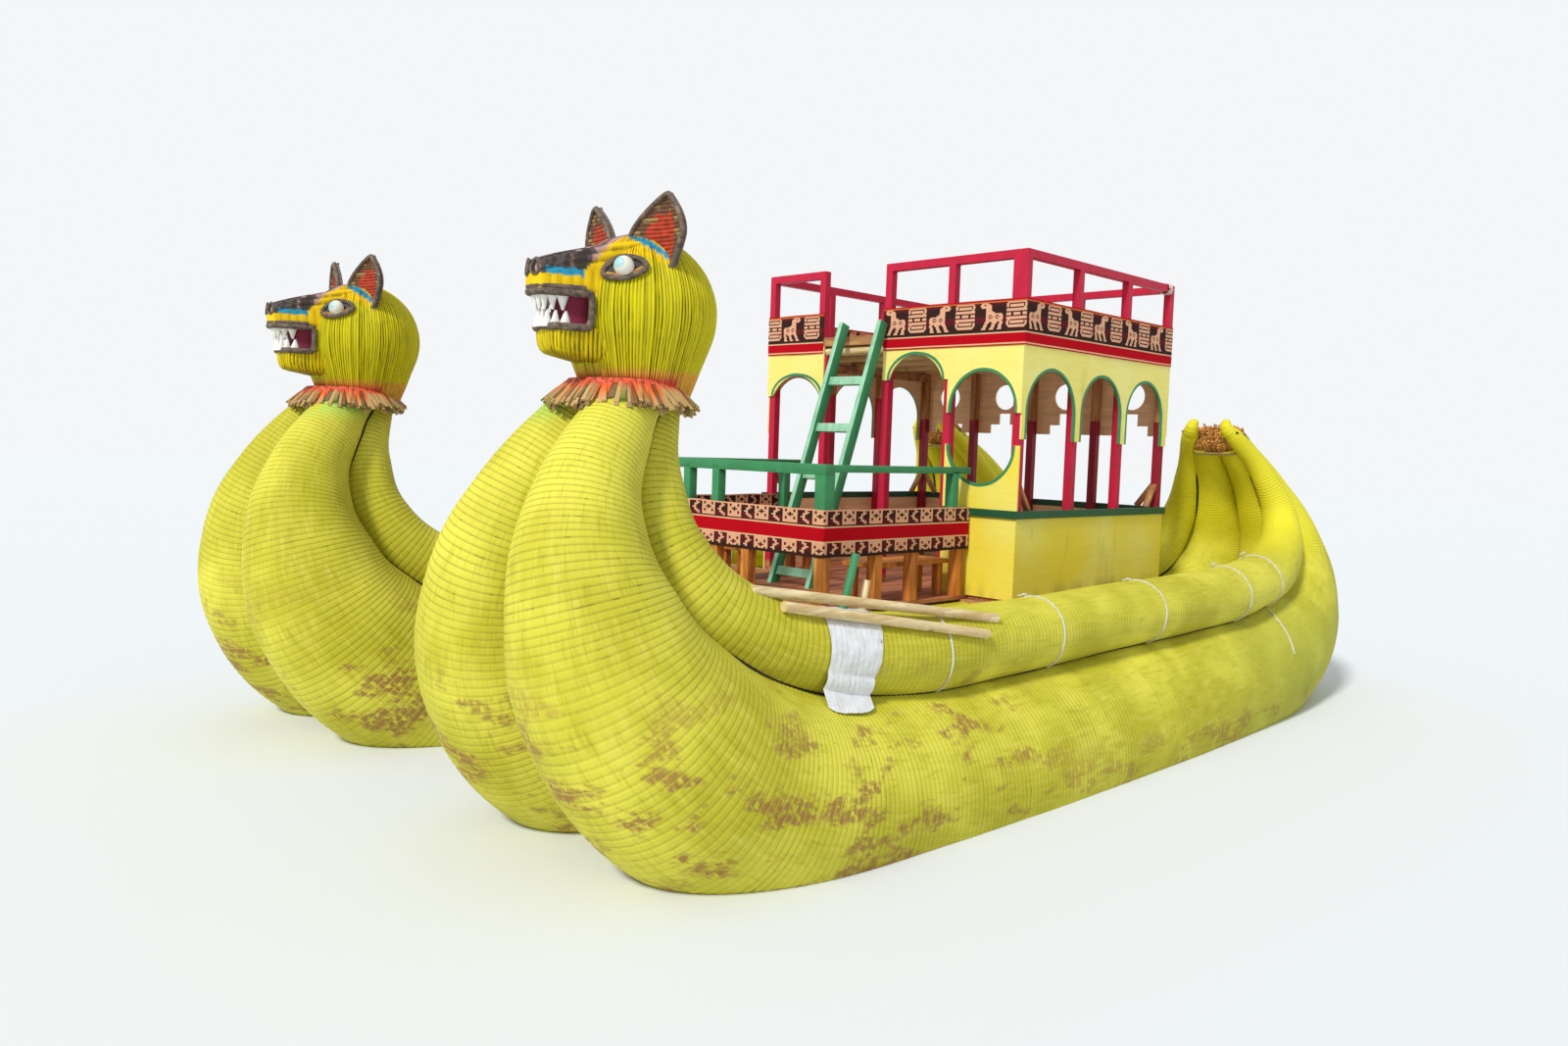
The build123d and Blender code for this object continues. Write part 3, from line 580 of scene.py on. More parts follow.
def painted_ball():
    """Glossy painted ball, its colours from the mesh."""
    s = Shader("eyeball_paint")
    paint = s.attribute("paint", "Color")
    vein = s.noise(s.place(), 30.0, 4.0)
    tone = s.coat(paint, srgb("b9a98a"), 0.25, vein, 0.52, 0.75)
    return s.finish(tone, 0.22, vein, 0.0008, 0.4, Coat_Weight=0.5)


def laid_rope(name, colour):
    """Rope: strands that wind round it, painted shade in the grooves between them, and darker soiled patches.
    """
    s = Shader(name)
    place = s.place()
    x, y, z = s.axes(place)
    twist = s.sum("SINE", (x + y + z) * 420.0)
    dirt_and_gap_shade = s.noise(place, 20.0, 3.0)
    # Painted shade: darker in the grooves between the strands
    tone = s.coat(colour, tone_of(colour, 0.45), 0.55, twist, 0.0, -0.9)
    tone = s.coat(tone, tone_of(colour, 0.6), 0.4, dirt_and_gap_shade, 0.5, 0.72)
    return s.finish(tone, 0.8, twist, 0.002, 0.8)


def plain_finish(name, colour, rough, coat=0.0, grain=40.0, depth=0.0008):
    """A smooth finish with faint mottling."""
    s = Shader(name)
    mottle = s.noise(s.place(), grain, 3.0)
    tone = s.coat(colour, tone_of(colour, 0.7), 0.3, mottle, 0.3, 0.75)
    return s.finish(tone, rough, mottle, depth, 0.5, Coat_Weight=coat)


def floor_finish(look):
    """Pale ground with the faintest clouding."""
    s = Shader("floor_finish")
    cloud = s.noise(s.place(), 0.35, 2.0)
    s.set(Base_Color=s.mix(cloud * 0.08, look.floor, tone_of(look.floor, 0.9)), Roughness=0.85)
    return s.material


def deselect():
    for thing in bpy.context.selected_objects:
        thing.select_set(False)


def activate(obj):
    deselect()
    obj.select_set(True)
    bpy.context.view_layer.objects.active = obj


def primitive(kind, name, **settings):
    deselect()
    getattr(bpy.ops.mesh, f"primitive_{kind}_add")(**settings)
    obj = bpy.context.object
    obj.name = obj.data.name = name
    return obj


def add_modifier(obj, kind, **settings):
    activate(obj)
    modifier = obj.modifiers.new(kind.title(), kind)
    for key, value in settings.items():
        setattr(modifier, key, value)
    bpy.ops.object.modifier_apply(modifier=modifier.name)


def in_edit_mode(obj, *steps):
    """Each step is an operator or function with its settings, run on the whole mesh."""
    activate(obj)
    bpy.ops.object.mode_set(mode="EDIT")
    for operator, settings in steps:
        bpy.ops.mesh.select_all(action="SELECT")
        operator(**settings)
    bpy.ops.object.mode_set(mode="OBJECT")


def points_of(obj):
    co = np.zeros(len(obj.data.vertices) * 3)
    obj.data.vertices.foreach_get("co", co)
    return co.reshape(-1, 3)


def move_points(obj, co):
    obj.data.vertices.foreach_set("co", np.asarray(co, float).ravel())
    obj.data.update()


def copied(obj, name):
    twin = obj.copy()
    twin.data = obj.data.copy()
    twin.name = twin.data.name = name
    bpy.context.scene.collection.objects.link(twin)
    return twin


def mirrored(obj, name, plane_x):
    """A copy on the other side of an upright plane, with its faces turned out again."""
    twin = copied(obj, name)
    co = points_of(twin)
    co[:, 0] = 2 * plane_x - co[:, 0]
    move_points(twin, co)
    in_edit_mode(twin, (bpy.ops.mesh.flip_normals, {}))
    return twin


def turn_out(obj):
    """Faces outward."""
    in_edit_mode(obj, (bpy.ops.mesh.normals_make_consistent, {"inside": False}))
    return obj


def fill_openings():
    """In edit mode: closes every opening that is left in the mesh."""
    bpy.ops.mesh.select_all(action="DESELECT")
    bpy.ops.mesh.select_non_manifold()
    bpy.ops.mesh.fill_holes(sides=0)


def linked(name, data):
    obj = bpy.data.objects.new(name, data)
    bpy.context.scene.collection.objects.link(obj)
    return obj


def mesh_piece(name, points, faces):
    mesh = bpy.data.meshes.new(name)
    mesh.from_pydata(points, [], faces)
    return linked(name, mesh)


def surface_of(obj):
    """A piece's surface, to lay other pieces on."""
    mesh = obj.data
    return BVHTree.FromPolygons([v.co for v in mesh.vertices], [p.vertices for p in mesh.polygons])


def ring(count):
    """Angles once round."""
    return [2 * math.pi * k / count for k in range(count)]


def upright(way, across):
    """The direction at right angles to both that points up."""
    up = way.cross(across).normalized()
    return -up if up.z < 0 else up


def settle(obj, material, replaces=(), smooth=60):
    """Ends a piece: place in its mesh, shading, finish, and its ride on the boat."""
    activate(obj)
    bpy.ops.object.transform_apply(location=True, rotation=True, scale=True)
    bpy.ops.object.shade_smooth_by_angle(angle=math.radians(smooth))
    if material is not None:
        obj.data.materials.clear()
        obj.data.materials.append(material)
    if replaces:
        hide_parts(*replaces)
    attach(obj, "root")


def tube(name, points, radius, closed=False, sides=3):
    """A round cord, rope or rim along a line of points, as a mesh."""
    curve = bpy.data.curves.new(name, "CURVE")
    curve.dimensions = "3D"
    curve.bevel_depth = radius
    curve.bevel_resolution = sides
    curve.use_fill_caps = not closed
    line = curve.splines.new("NURBS")
    line.points.add(len(points) - 1)
    for spot, point in zip(line.points, points):
        spot.co = (*point, 1)
    line.use_cyclic_u = closed
    line.order_u = 3
    line.use_endpoint_u = not closed
    curve.resolution_u = 4
    activate(linked(name, curve))
    bpy.ops.object.convert(target="MESH")
    return bpy.context.object


def joined(name, parts):
    """Several meshes as one piece."""
    activate(parts[0])
    for part in parts[1:]:
        part.select_set(True)
    if len(parts) > 1:
        bpy.ops.object.join()
    obj = bpy.context.object
    obj.name = obj.data.name = name
    return obj


def guide(stations, side):
    """The curve that a bundle follows, with the bundle's radius at each point."""
    curve = bpy.data.curves.new("guide", "CURVE")
    curve.dimensions = "3D"
    curve.resolution_u = 24
    curve.twist_mode = "MINIMUM"
    line = curve.splines.new("BEZIER")
    line.bezier_points.add(len(stations) - 1)
    line.radius_interpolation = "CARDINAL"
    for spot, (out, y, z, radius) in zip(line.bezier_points, stations):
        spot.co = (HULL_X + side * out, y, z)
        spot.radius = radius
        spot.handle_left_type = spot.handle_right_type = "AUTO"
    return linked("guide", curve)


def path_steps(stations, side):
    """Distance along the stations, with the radius there."""
    spots = [Vector((HULL_X + side * s[0], s[1], s[2])) for s in stations]
    run = [0.0]
    for a, b in zip(spots, spots[1:]):
        run.append(run[-1] + (b - a).length)
    return np.array(run), np.array([s[3] for s in stations])


def reed_bundle(name, stations, side, facets, pitch_thin, pitch_thick, relief):
    """A bundle under cords: one cord's pitch, repeated, and bent along the bundle's path."""
    line = guide(stations, side)
    bpy.context.view_layer.update()
    length = line.data.splines[0].calc_length()
    run, radii = path_steps(stations, side)
    run *= length / run[-1]
    spots = np.linspace(0, length, 400)
    thick = (np.interp(spots, run, radii) - radii.min()) / (radii.max() - radii.min())
    pitch = pitch_thin + (pitch_thick - pitch_thin) * thick
    turns = np.concatenate([[0], np.cumsum(np.diff(spots) / pitch[1:])])
    count = int(turns[-1])

    bundle = primitive("cylinder", name, vertices=facets, radius=1, depth=1, end_fill_type="NOTHING",
                       location=(0.5, 0, 0), rotation=(0, math.pi / 2, 0))
    bpy.ops.object.transform_apply(location=True, rotation=True, scale=True)
    bpy.ops.object.mode_set(mode="EDIT")
    bpy.ops.mesh.select_all(action="SELECT")
    bpy.ops.mesh.bisect(plane_co=(0.5, 0, 0), plane_no=(1, 0, 0))
    bpy.ops.mesh.select_all(action="DESELECT")
    bpy.ops.object.mode_set(mode="OBJECT")
    co = points_of(bundle)
    edge = np.abs(co[:, 0] - 0.5) > 0.25
    co[edge, 1:] *= 1 - relief
    move_points(bundle, co)
    add_modifier(bundle, "ARRAY", fit_type="FIXED_COUNT", count=count, use_relative_offset=False,
                 use_constant_offset=True, constant_offset_displace=(1, 0, 0),
                 use_merge_vertices=True, merge_threshold=0.001)
    wrap_uv(bundle)
    co = points_of(bundle)
    co[:, 0] = np.interp(co[:, 0] * turns[-1] / count, turns, spots)
    lumps = [noise.noise(Vector((p[0] * 1.3, p[1] * 1.5 + side, p[2] * 1.5))) for p in co]
    co[:, 1:] *= 1 + 0.012 * np.array(lumps)[:, None]
    move_points(bundle, co)
    add_modifier(bundle, "CURVE", object=line, deform_axis="POS_X")
    bpy.data.objects.remove(line)
    in_edit_mode(bundle, (bpy.ops.mesh.bisect, {"plane_co": (HULL_X, 0, 0), "plane_no": (side, 0, 0),
                                                "use_fill": True, "clear_inner": True}))
    activate(bundle)
    for face in bundle.data.polygons:
        face.select = face.center.y < NECK_BEFORE
    bpy.ops.object.mode_set(mode="EDIT")
    bpy.ops.mesh.bisect(plane_co=(0, 0, NECK_TOP), plane_no=(0, 0, 1), use_fill=True, clear_outer=True)
    fill_openings()
    bpy.ops.object.mode_set(mode="OBJECT")
    return bundle


def seam_cord(name, stations, side, body):
    """A dark cord pressed into the seam where a roll lies on its bundle, on both sides of the roll: a painted
    shadow that stands for the crease's contact shadow.
    """
    line = guide(stations, side)
    bpy.context.view_layer.update()
    shown = line.evaluated_get(bpy.context.evaluated_depsgraph_get())
    spots = [vertex.co.copy() for vertex in shown.to_mesh().vertices][::4]
    shown.to_mesh_clear()
    bpy.data.objects.remove(line)
    run, radii = path_steps(stations, side)
    far = np.concatenate([[0], np.cumsum([(b - a).length for a, b in zip(spots, spots[1:])])])
    girth = np.interp(far * run[-1] / far[-1], run, radii)
    tree = surface_of(body)
    cords = []
    for start, turn in ((10, -3), (170, 3)):
        seam = []
        for k in range(1, len(spots) - 1):
            way = (spots[k + 1] - spots[k - 1]).normalized()
            across = (Vector((side, 0, 0)) - way * way.x * side).normalized()
            up = across.cross(way) * side
            for step in range(55):
                angle = math.radians(start + turn * step)
                out = across * math.cos(angle) + up * math.sin(angle)
                spot = spots[k] + out * girth[k]
                near, normal = tree.find_nearest(spot)[:2]
                if (spot - near).dot(normal) < 0.003:
                    seam.append(spot + normal * SEAM_OUT)
                    break
        if len(seam) > 3:
            cords.append(tube("seam", seam, SEAM_R))
    return joined(name, cords)


def wrap_uv(obj):
    """Lays the map round the X axis: across it once round, along it one unit a metre of the mesh."""
    mesh = obj.data
    layer = mesh.uv_layers[0] if mesh.uv_layers else mesh.uv_layers.new(name="UVMap")
    co = points_of(obj)
    corner = np.zeros(len(mesh.loops), int)
    mesh.loops.foreach_get("vertex_index", corner)
    spots = co[corner].reshape(-1, 4, 3)
    turn = np.arctan2(spots[:, :, 2], spots[:, :, 1]) / (2 * math.pi) + 0.5
    seam = turn.max(axis=1) - turn.min(axis=1) > 0.5
    turn[seam] += turn[seam] < 0.5
    uv = np.stack([turn.ravel(), spots[:, :, 0].ravel()], axis=1)
    layer.data.foreach_set("uv", uv.ravel())


def paint_points(obj, paint, gaps=None, domain="POINT"):
    """A colour for each point or corner of the mesh, and how deep it lies in a gap between reeds, which the
    finish darkens as painted shade.
    """
    rgba = np.ones((len(paint), 4), np.float32)
    rgba[:, :3] = paint
    layer = obj.data.color_attributes.new("paint", "FLOAT_COLOR", domain)
    layer.data.foreach_set("color", rgba.ravel())
    if gaps is not None:
        layer = obj.data.attributes.new("gap", "FLOAT", "POINT")
        layer.data.foreach_set("value", np.asarray(gaps, np.float32))


def scene_camera():
    cam = bpy.data.cameras.new("camera")
    cam.lens = CAMERA_LENS
    cam.sensor_width = 36
    cam.clip_end = 200
    obj = linked("camera", cam)
    turn = Matrix.Rotation(math.radians(CAMERA_HEADING), 4, "Z")
    dip = Matrix.Rotation(math.radians(90 - CAMERA_DIP), 4, "X")
    roll = Matrix.Rotation(math.radians(CAMERA_ROLL), 4, "Z")
    obj.matrix_world = Matrix.Translation(CAMERA_PLACE) @ turn @ dip @ roll
    bpy.context.scene.camera = obj


# Heads, in their own place: out from the hull's centre plane, along, up
SKULL_Y = -3.49
SKULL_Z = 2.74
SKULL_MIDDLE = Vector((0, SKULL_Y, SKULL_Z))
SKULL_R = 0.40
JOWL = math.radians(20)
NECK_R = 0.27
SKULL_REEDS = 140
ROOF = 2.785                # roof of the mouth
JAW_TOP = 2.630
MUZZLE = [(-4.115, 0.066, ROOF, 2.935), (-3.83, 0.160, ROOF, 3.030), (-3.50, 0.225, ROOF, 3.095)]
JAW = [(-4.055, 0.095, 2.500, JAW_TOP), (-3.83, 0.150, 2.460, JAW_TOP), (-3.56, 0.220, 2.430, JAW_TOP)]
EYE = (0.252, -3.775, 2.926)
EYE_R = 0.05
LID_LONG = 0.112
LID_HIGH = 0.068
LID_TILT = math.radians(13)
EAR = (0.199, -3.548, 2.935)
EAR_YAW = math.radians(14)
EAR_HIGH = 0.368
EAR_HALF = 0.160
EAR_LEAN = 0.095
EAR_FRONT = (57, 25)            # rows and columns of points
EAR_BACK = (14, 40)
MOUTH_BACK = -3.885
NOSTRIL = (0.033, -4.120, 2.893)
COLLAR_MIDDLE = Vector((0, -3.58, 2.398))
COLLAR_R = 0.268
COLLAR_LAYERS = 3
COLLAR_BLADES = 150             # in each layer
DOWN = Vector((0, 0, -1))


# Brow bands: degrees from straight ahead, and the height there
BLUE_TOP = ([33, 62, 70.6, 77, 81, 88], [3.117, 3.095, 3.069, 3.035, 3.006, 2.960])
BLUE_FOOT = ([33, 44.8, 59.6, 67.3, 72.6, 81, 88], [3.100, 3.083, 3.052, 3.022, 2.998, 2.978, 2.955])
YELLOW_FOOT = ([0, 30, 61, 78, 88], [2.99, 2.99, 2.982, 2.953, 2.950])


def along_sections(sections, y):
    """Half width, low and high of a snout's sections at y, on a smooth line through them."""
    ys, *columns = zip(*sections)
    return [float(np.polyval(np.polyfit(ys, column, 2), y)) for column in columns]


def head_colour(look, x, y, z):
    """Paint of the skull at a point: dark brow strips, yellow and blue bands, and a red neck."""
    turn = math.degrees(math.atan2(abs(x), -(y - SKULL_Y)))
    wob = 0.006 * noise.noise(Vector((x * 9, y * 9, z * 9)))
    top, foot, lid = (np.interp(turn, *line) + wob for line in (BLUE_TOP, BLUE_FOOT, YELLOW_FOOT))
    if 33 < turn < 88 and foot < z < top:
        return look.head_blue
    if abs(x) < 0.072 + wob and z > 3.0 and turn < 90:
        streak = noise.noise(Vector((x * 75, y * 2.0, 7)))
        return look.head_pink if streak > -0.05 else look.head_grey
    if turn < 88 and lid < z < max(foot, top):
        return look.head_yellow
    if turn < 40 and z > 3.08:
        return look.head_yellow
    if z < 2.410 + wob and turn < 95 + 400 * wob:
        return look.head_red
    if z < 2.445 + 2 * wob:
        return look.head_orange
    if turn < 24 and 2.80 < z < 2.99:
        return look.head_yellow
    return look.head_reed


def snout_colour(look, x, y, z):
    """Paint of the snout: dark strips on top, a blue and a yellow band on each side."""
    if z < ROOF + 0.004:
        return look.mouth
    if y > -3.70 and z > 2.95 and abs(x) > 0.078:
        return head_colour(look, x, y, z)
    wob = 0.004 * noise.noise(Vector((x * 12, y * 12, 3)))
    if z < 2.868 + wob:
        return look.head_yellow
    if z < 2.900 + wob and -4.090 < y < -3.915:
        return look.head_blue
    dark = np.interp(y, [-3.84, -3.80, -3.68, -3.50], [0.30, 0.155, 0.075, 0.060])
    edge = np.interp(y, [-3.915, -3.80], [2.900, 3.030])
    if y > -3.915 and (z < edge + wob or abs(x) > dark + wob):
        return look.head_yellow
    streak = noise.noise(Vector((x * 75, y * 2.0, 7)))
    if streak > np.interp(y, [-4.02, -3.86, -3.66], [0.34, 0.06, -0.14]):
        return look.head_pink
    grey = np.array(look.head_grey)
    return grey * 0.55 if noise.noise(Vector((x * 90, y * 2.5, 11))) > 0.0 else grey * 1.35


def reed_skin(name, rows, columns, stem, closed=False):
    """A skin of reeds: stem(row, column) gives a point, its paint, and how deep it lies in a gap."""
    points, paint, gaps = zip(*[stem(r, c) for r in range(rows) for c in range(columns)])
    faces = []
    for row in range(0, (rows - 1) * columns, columns):
        for c in range(columns if closed else columns - 1):
            d = (c + 1) % columns
            faces.append((row + c, row + d, row + columns + d, row + columns + c))
    obj = mesh_piece(name, points, faces)
    paint_points(obj, paint, gaps)
    return obj


def skull(look):
    """Round skull on a straight neck, clad in upright reeds."""
    jowl_r, jowl_z = SKULL_R * math.cos(JOWL), SKULL_Z - SKULL_R * math.sin(JOWL)
    levels = [(NECK_R + (jowl_r - NECK_R) * t, NECK_TOP + (jowl_z - NECK_TOP) * t)
              for t in np.linspace(0, 1, 9)[:-1]]
    levels += [(SKULL_R * math.cos(a), SKULL_Z + SKULL_R * math.sin(a))
               for a in np.linspace(-JOWL, math.pi / 2 - 0.05, 26)]
    columns = 3 * SKULL_REEDS
    depth = [random.uniform(0.35, 1.0) for _ in range(SKULL_REEDS)]
    nudge = [random.uniform(-0.6, 0.6) for _ in range(columns)]

    def stem(r, c):
        radius, z = levels[r]
        reed = c // 3
        groove = c % 3 == 0
        bend = 0.5 * noise.noise(Vector((reed * 0.37, z * 5.0, 1.0)))
        turn = (c + nudge[c] * groove + bend) / columns * 2 * math.pi
        wave = noise.noise(Vector((reed * 1.7, z * 7.0, 4.0)))
        dip = 0.010 * depth[reed] if groove else 0.003 * wave
        out = max(radius - dip * min(1, radius / 0.2), 0.004)
        point = (out * math.sin(turn), SKULL_Y - out * math.cos(turn), z)
        colour = np.array(head_colour(look, *point)) * (0.88 + 0.24 * ((reed * 37) % 11) / 11)
        return point, colour, groove * depth[reed] * min(1.0, 0.75 + wave)

    return turn_out(reed_skin("skull", len(levels), columns, stem, closed=True))


def snout_section(half, low, high, corner=0.03):
    """Round-cornered outline, from the middle of the top round by port."""
    x, top, foot = half - corner, high - corner, low + corner
    runs = [((0, high), (x, high), 15), ((half, top), (half, foot), 12), ((x, low), (-x, low), 10),
            ((-half, foot), (-half, top), 12), ((-x, high), (0, high), 15)]
    corners = [((x, top), 90), ((x, foot), 0), ((-x, foot), -90), ((-x, top), 180)]
    outline = []
    for i, (a, b, n) in enumerate(runs):
        outline += [(a[0] + (b[0] - a[0]) * k / n, a[1] + (b[1] - a[1]) * k / n) for k in range(n)]
        if i < len(corners):
            (cx, cz), start = corners[i]
            turns = [math.radians(start - 30 * k) for k in range(3)]
            outline += [(cx + corner * math.cos(turn), cz + corner * math.sin(turn)) for turn in turns]
    return outline


def muzzle(look):
    """Upper snout: strips along the top, uprights on the sides, and a rounded nose."""
    tip, back = MUZZLE[0][0], MUZZLE[2][0]
    levels = [(tip - 0.014 * (1 - pull ** 2), pull) for pull in (0.04, 0.3, 0.55, 0.78, 0.94)]
    levels += [(y, 1.0) for y in np.linspace(tip + 0.004, back, 50)]
    sizes = [along_sections(MUZZLE, max(y, tip)) for y, pull in levels]
    outlines = [snout_section(*size) for size in sizes]

    def stem(r, c):
        (y, pull), (_, low, high), (x, z) = levels[r], sizes[r], outlines[r][c]
        middle = (low + high) / 2
        share = (z - low) / (high - low)
        side_tie = r % 4 == 0 and share < 0.55 and pull == 1
        strip = c % 3 == 0 and share > 0.55 and pull == 1
        inward = Vector((-x, 0, middle - z)).normalized() * (0.006 * strip + 0.004 * side_tie)
        spot = (x * pull + inward.x, y, middle + (z - middle) * pull + inward.z)
        wave = noise.noise(Vector((c * 0.9, y * 6, 2)))
        gap = 0.9 if strip else 0.35 if side_tie else 0.0
        return spot, snout_colour(look, *spot), gap * min(1, 0.8 + wave)

    obj = reed_skin("muzzle", len(levels), len(outlines[0]), stem, closed=True)
    in_edit_mode(obj, (fill_openings, {}), (bpy.ops.mesh.normals_make_consistent, {"inside": False}))
    return obj


def jaw_plan(t, half_back, half_tip, y_back, y_tip, corner):
    """A point of the jaw's U in plan, t from one back corner round the chin to the other."""
    side = 1 if t < 0.5 else -1
    u = t * 2 if t < 0.5 else (1 - t) * 2
    straight = 0.78
    if u < straight:
        k = u / straight
        return side * (half_back + (half_tip - half_back) * k), y_back + (y_tip + corner - y_back) * k
    k = (u - straight) / (1 - straight)
    return side * half_tip * (1 - k), y_tip + corner * (1 - math.sin(k * math.pi / 2))


# How far down the jaw, and how wide it still is there
JAW_LEVELS = [(0.0, 1.0), (0.15, 1.0), (0.4, 0.99), (0.62, 0.95), (0.8, 0.86), (0.93, 0.70), (1.0, 0.45),
              (1.01, 0.05)]


def jaw(look):
    """Lower jaw: upright reeds round the chin, gathered under it, with painted shade on the underside."""
    columns = 150
    back, chin = -3.60, -4.062
    base = np.array(look.head_yellow) * 0.4 + np.array(look.head_reed) * 0.6

    def stem(r, c):
        depth, pull = JAW_LEVELS[r]
        x, y = jaw_plan(c / columns, 0.215, 0.098, back, chin, 0.03)
        bottom = 2.497 - 0.065 * (y - chin) / (back - chin)
        groove = c % 3 == 0
        spot = (x * pull * (1 - 0.05 * groove), y + (1 - pull) * 0.10 + 0.004 * groove,
                JAW_TOP + (bottom - JAW_TOP) * depth)
        wave = noise.noise(Vector((c * 0.7, depth * 3, 5)))
        # The lowest rows, under the chin, are darkened to 0.6: painted shade under the jaw
        tone = 0.85 + 0.3 * ((c // 3 * 29) % 7) / 7 if depth < 0.9 else 0.6
        return spot, base * tone, groove * min(1, 0.75 + wave)

    return turn_out(reed_skin("jaw", len(JAW_LEVELS), columns + 1, stem))


def lip_line(z_high, z_low):
    """The closed line of both lips: round the muzzle, down, round the jaw, and up."""
    def around(sections, z):
        tip_y, tip_half = sections[0][:2]
        back_half = along_sections(sections, MOUTH_BACK)[0]
        return [(back_half + 0.006, MOUTH_BACK, z), (back_half + 0.004, MOUTH_BACK - 0.03, z),
                ((back_half + tip_half) / 2 + 0.006, (MOUTH_BACK + tip_y) / 2, z),
                (tip_half + 0.006, tip_y + 0.045, z), (tip_half - 0.008, tip_y + 0.010, z),
                (tip_half * 0.4, tip_y + 0.004, z)]
    upper, lower = around(MUZZLE, z_high), around(JAW, z_low)
    upper += [(-x, y, z) for x, y, z in reversed(upper)]
    lower += [(-x, y, z) for x, y, z in reversed(lower)]
    port, starboard = [(end[0], MOUTH_BACK + 0.008, (z_high + z_low) / 2) for end in (upper[0], upper[-1])]
    return upper + [starboard] + lower[::-1] + [port]


def eye_frame(side):
    """Centre, gaze, and the eye's own across and up directions."""
    centre = Vector((side * EYE[0], EYE[1], EYE[2]))
    gaze = (centre - SKULL_MIDDLE).normalized()
    level = Vector((-gaze.y, gaze.x, 0)).normalized() * side
    up = upright(gaze, level)
    across = level * math.cos(LID_TILT) + up * math.sin(LID_TILT)
    lift = up * math.cos(LID_TILT) - level * math.sin(LID_TILT)
    return centre, gaze, across, lift


def on_skull(spot, stand_off):
    return SKULL_MIDDLE + (spot - SKULL_MIDDLE).normalized() * (SKULL_R + stand_off)


def almond(side, stand_off, grow=1.0):
    """The eye's outline, laid on the round of the skull."""
    centre, _, across, lift = eye_frame(side)
    outline = []
    for a in ring(28):
        high = LID_HIGH * math.sin(a) * (1.0 if math.sin(a) > 0 else 0.84)
        long = LID_LONG * math.copysign(abs(math.cos(a)) ** 1.25, math.cos(a))
        outline.append(on_skull(centre + (across * long + lift * high) * grow, stand_off))
    return outline


def rotate_to(direction):
    return direction.to_track_quat("Z", "Y").to_euler()


def ear(look, side):
    """One cupped, pointed ear: reeds laid across the hollow, upright ones behind, and a bound rim."""
    out = Vector((side * math.sin(EAR_YAW), -math.cos(EAR_YAW), 0))
    across = Vector((-out.y, out.x, 0))
    root = Vector((side * EAR[0], EAR[1], EAR[2]))

    def spot(u, v, inward):
        """u across from -1 to 1, v up from 0 to 1."""
        bulge = 1 - 0.28 * (2 * v - 0.9) ** 2 if v < 0.45 else 1 - ((v - 0.45) / 0.55) ** 1.7
        half = EAR_HALF * max(bulge, 0.0) * (1.0 if v < 0.45 else 0.995)
        lean = side * EAR_LEAN * v ** 1.5
        cup = 0.05 * (1 - u * u) * (1 - 0.75 * v)
        return root + across * (u * half + lean) + Vector((0, 0, EAR_HIGH * v)) + out * (0.045 - cup - inward)

    def front(r, c):
        u, v = 2 * c / (EAR_FRONT[1] - 1) - 1, r / (EAR_FRONT[0] - 1)
        groove = r % 3 == 0
        wave = noise.noise(Vector((u * 3, r // 3 * 1.3, side)))
        glow = 0.5 + 0.5 * noise.noise(Vector((u * 4, v * 9, side * 3)))
        inner = -0.42 + 0.4 * wave < side * u < 0.80 - 0.35 * v and v < 0.74 + 0.1 * wave
        low = v < 0.20 + 0.12 * wave
        red = np.array(look.collar_orange if low else look.ear_red) * (0.45 + 0.75 * glow)
        plain = look.ear_tan if wave > 0.18 else look.ear_brown
        return spot(u, v, 0.004 * groove), red if inner else plain, groove * min(1, 0.6 + wave)

    def back(r, c):
        last = EAR_BACK[1] - 1
        groove = c % 3 == 0 and 0 < c < last
        paint = look.ear_tan if (c // 3 * 7) % 5 else look.ear_brown
        return spot(1 - 2 * c / last, r / (EAR_BACK[0] - 1), 0.014 - 0.004 * groove), paint, 0.9 * groove

    skins = [reed_skin("ear_front", *EAR_FRONT, front), reed_skin("ear_back", *EAR_BACK, back)]
    edge = [spot(-1, v, 0.006) for v in np.linspace(0, 0.97, 14)]
    edge += [spot(0, 1.0, 0.006)]
    edge += [spot(1, v, 0.006) for v in np.linspace(0.97, 0, 14)]
    behind = [point - out * 0.024 for point in edge]
    rims = [tube("ear_rim", edge, 0.013), tube("ear_rim", behind, 0.010)]
    return joined("ear_skin", skins), joined("ear_rims", rims)


def on_both_heads(pieces, name, material, node):
    """Joins a head's pieces, sets them on the port head, and copies them to the starboard one."""
    piece = joined("port_" + name, pieces)
    co = points_of(piece)
    co[:, 0] += HULL_X
    move_points(piece, co)
    settle(piece, material, ["port_" + node])
    twin = copied(piece, "starboard_" + name)
    co[:, 0] -= 2 * HULL_X
    move_points(twin, co)
    settle(twin, None, ["starboard_" + node])


def eyeball(look, side):
    """A white ball with a faint blue iris towards the gaze."""
    centre, gaze, across, _ = eye_frame(side)
    ball = primitive("uv_sphere", "eyeball", segments=32, ring_count=20, radius=EYE_R,
                     location=centre, rotation=rotate_to(gaze))
    bpy.ops.object.transform_apply(location=True, rotation=True, scale=True)
    iris = (gaze * 0.9 - across * 0.45).normalized()
    offs = [(Vector(point) - centre).normalized().dot(iris) for point in points_of(ball)]
    paint_points(ball, [look.eye_blue if off > 0.80 else look.eye_white for off in offs])
    return ball


def eye_socket(side):
    """The dark almond behind the ball: painted shade of the eye's hollow."""
    outline = almond(side, 0.010, 0.98)
    count = len(outline)
    faces = [(0, i + 1, (i + 1) % count + 1) for i in range(count)]
    return turn_out(mesh_piece("eye_socket", [sum(outline, Vector()) / count] + outline, faces))


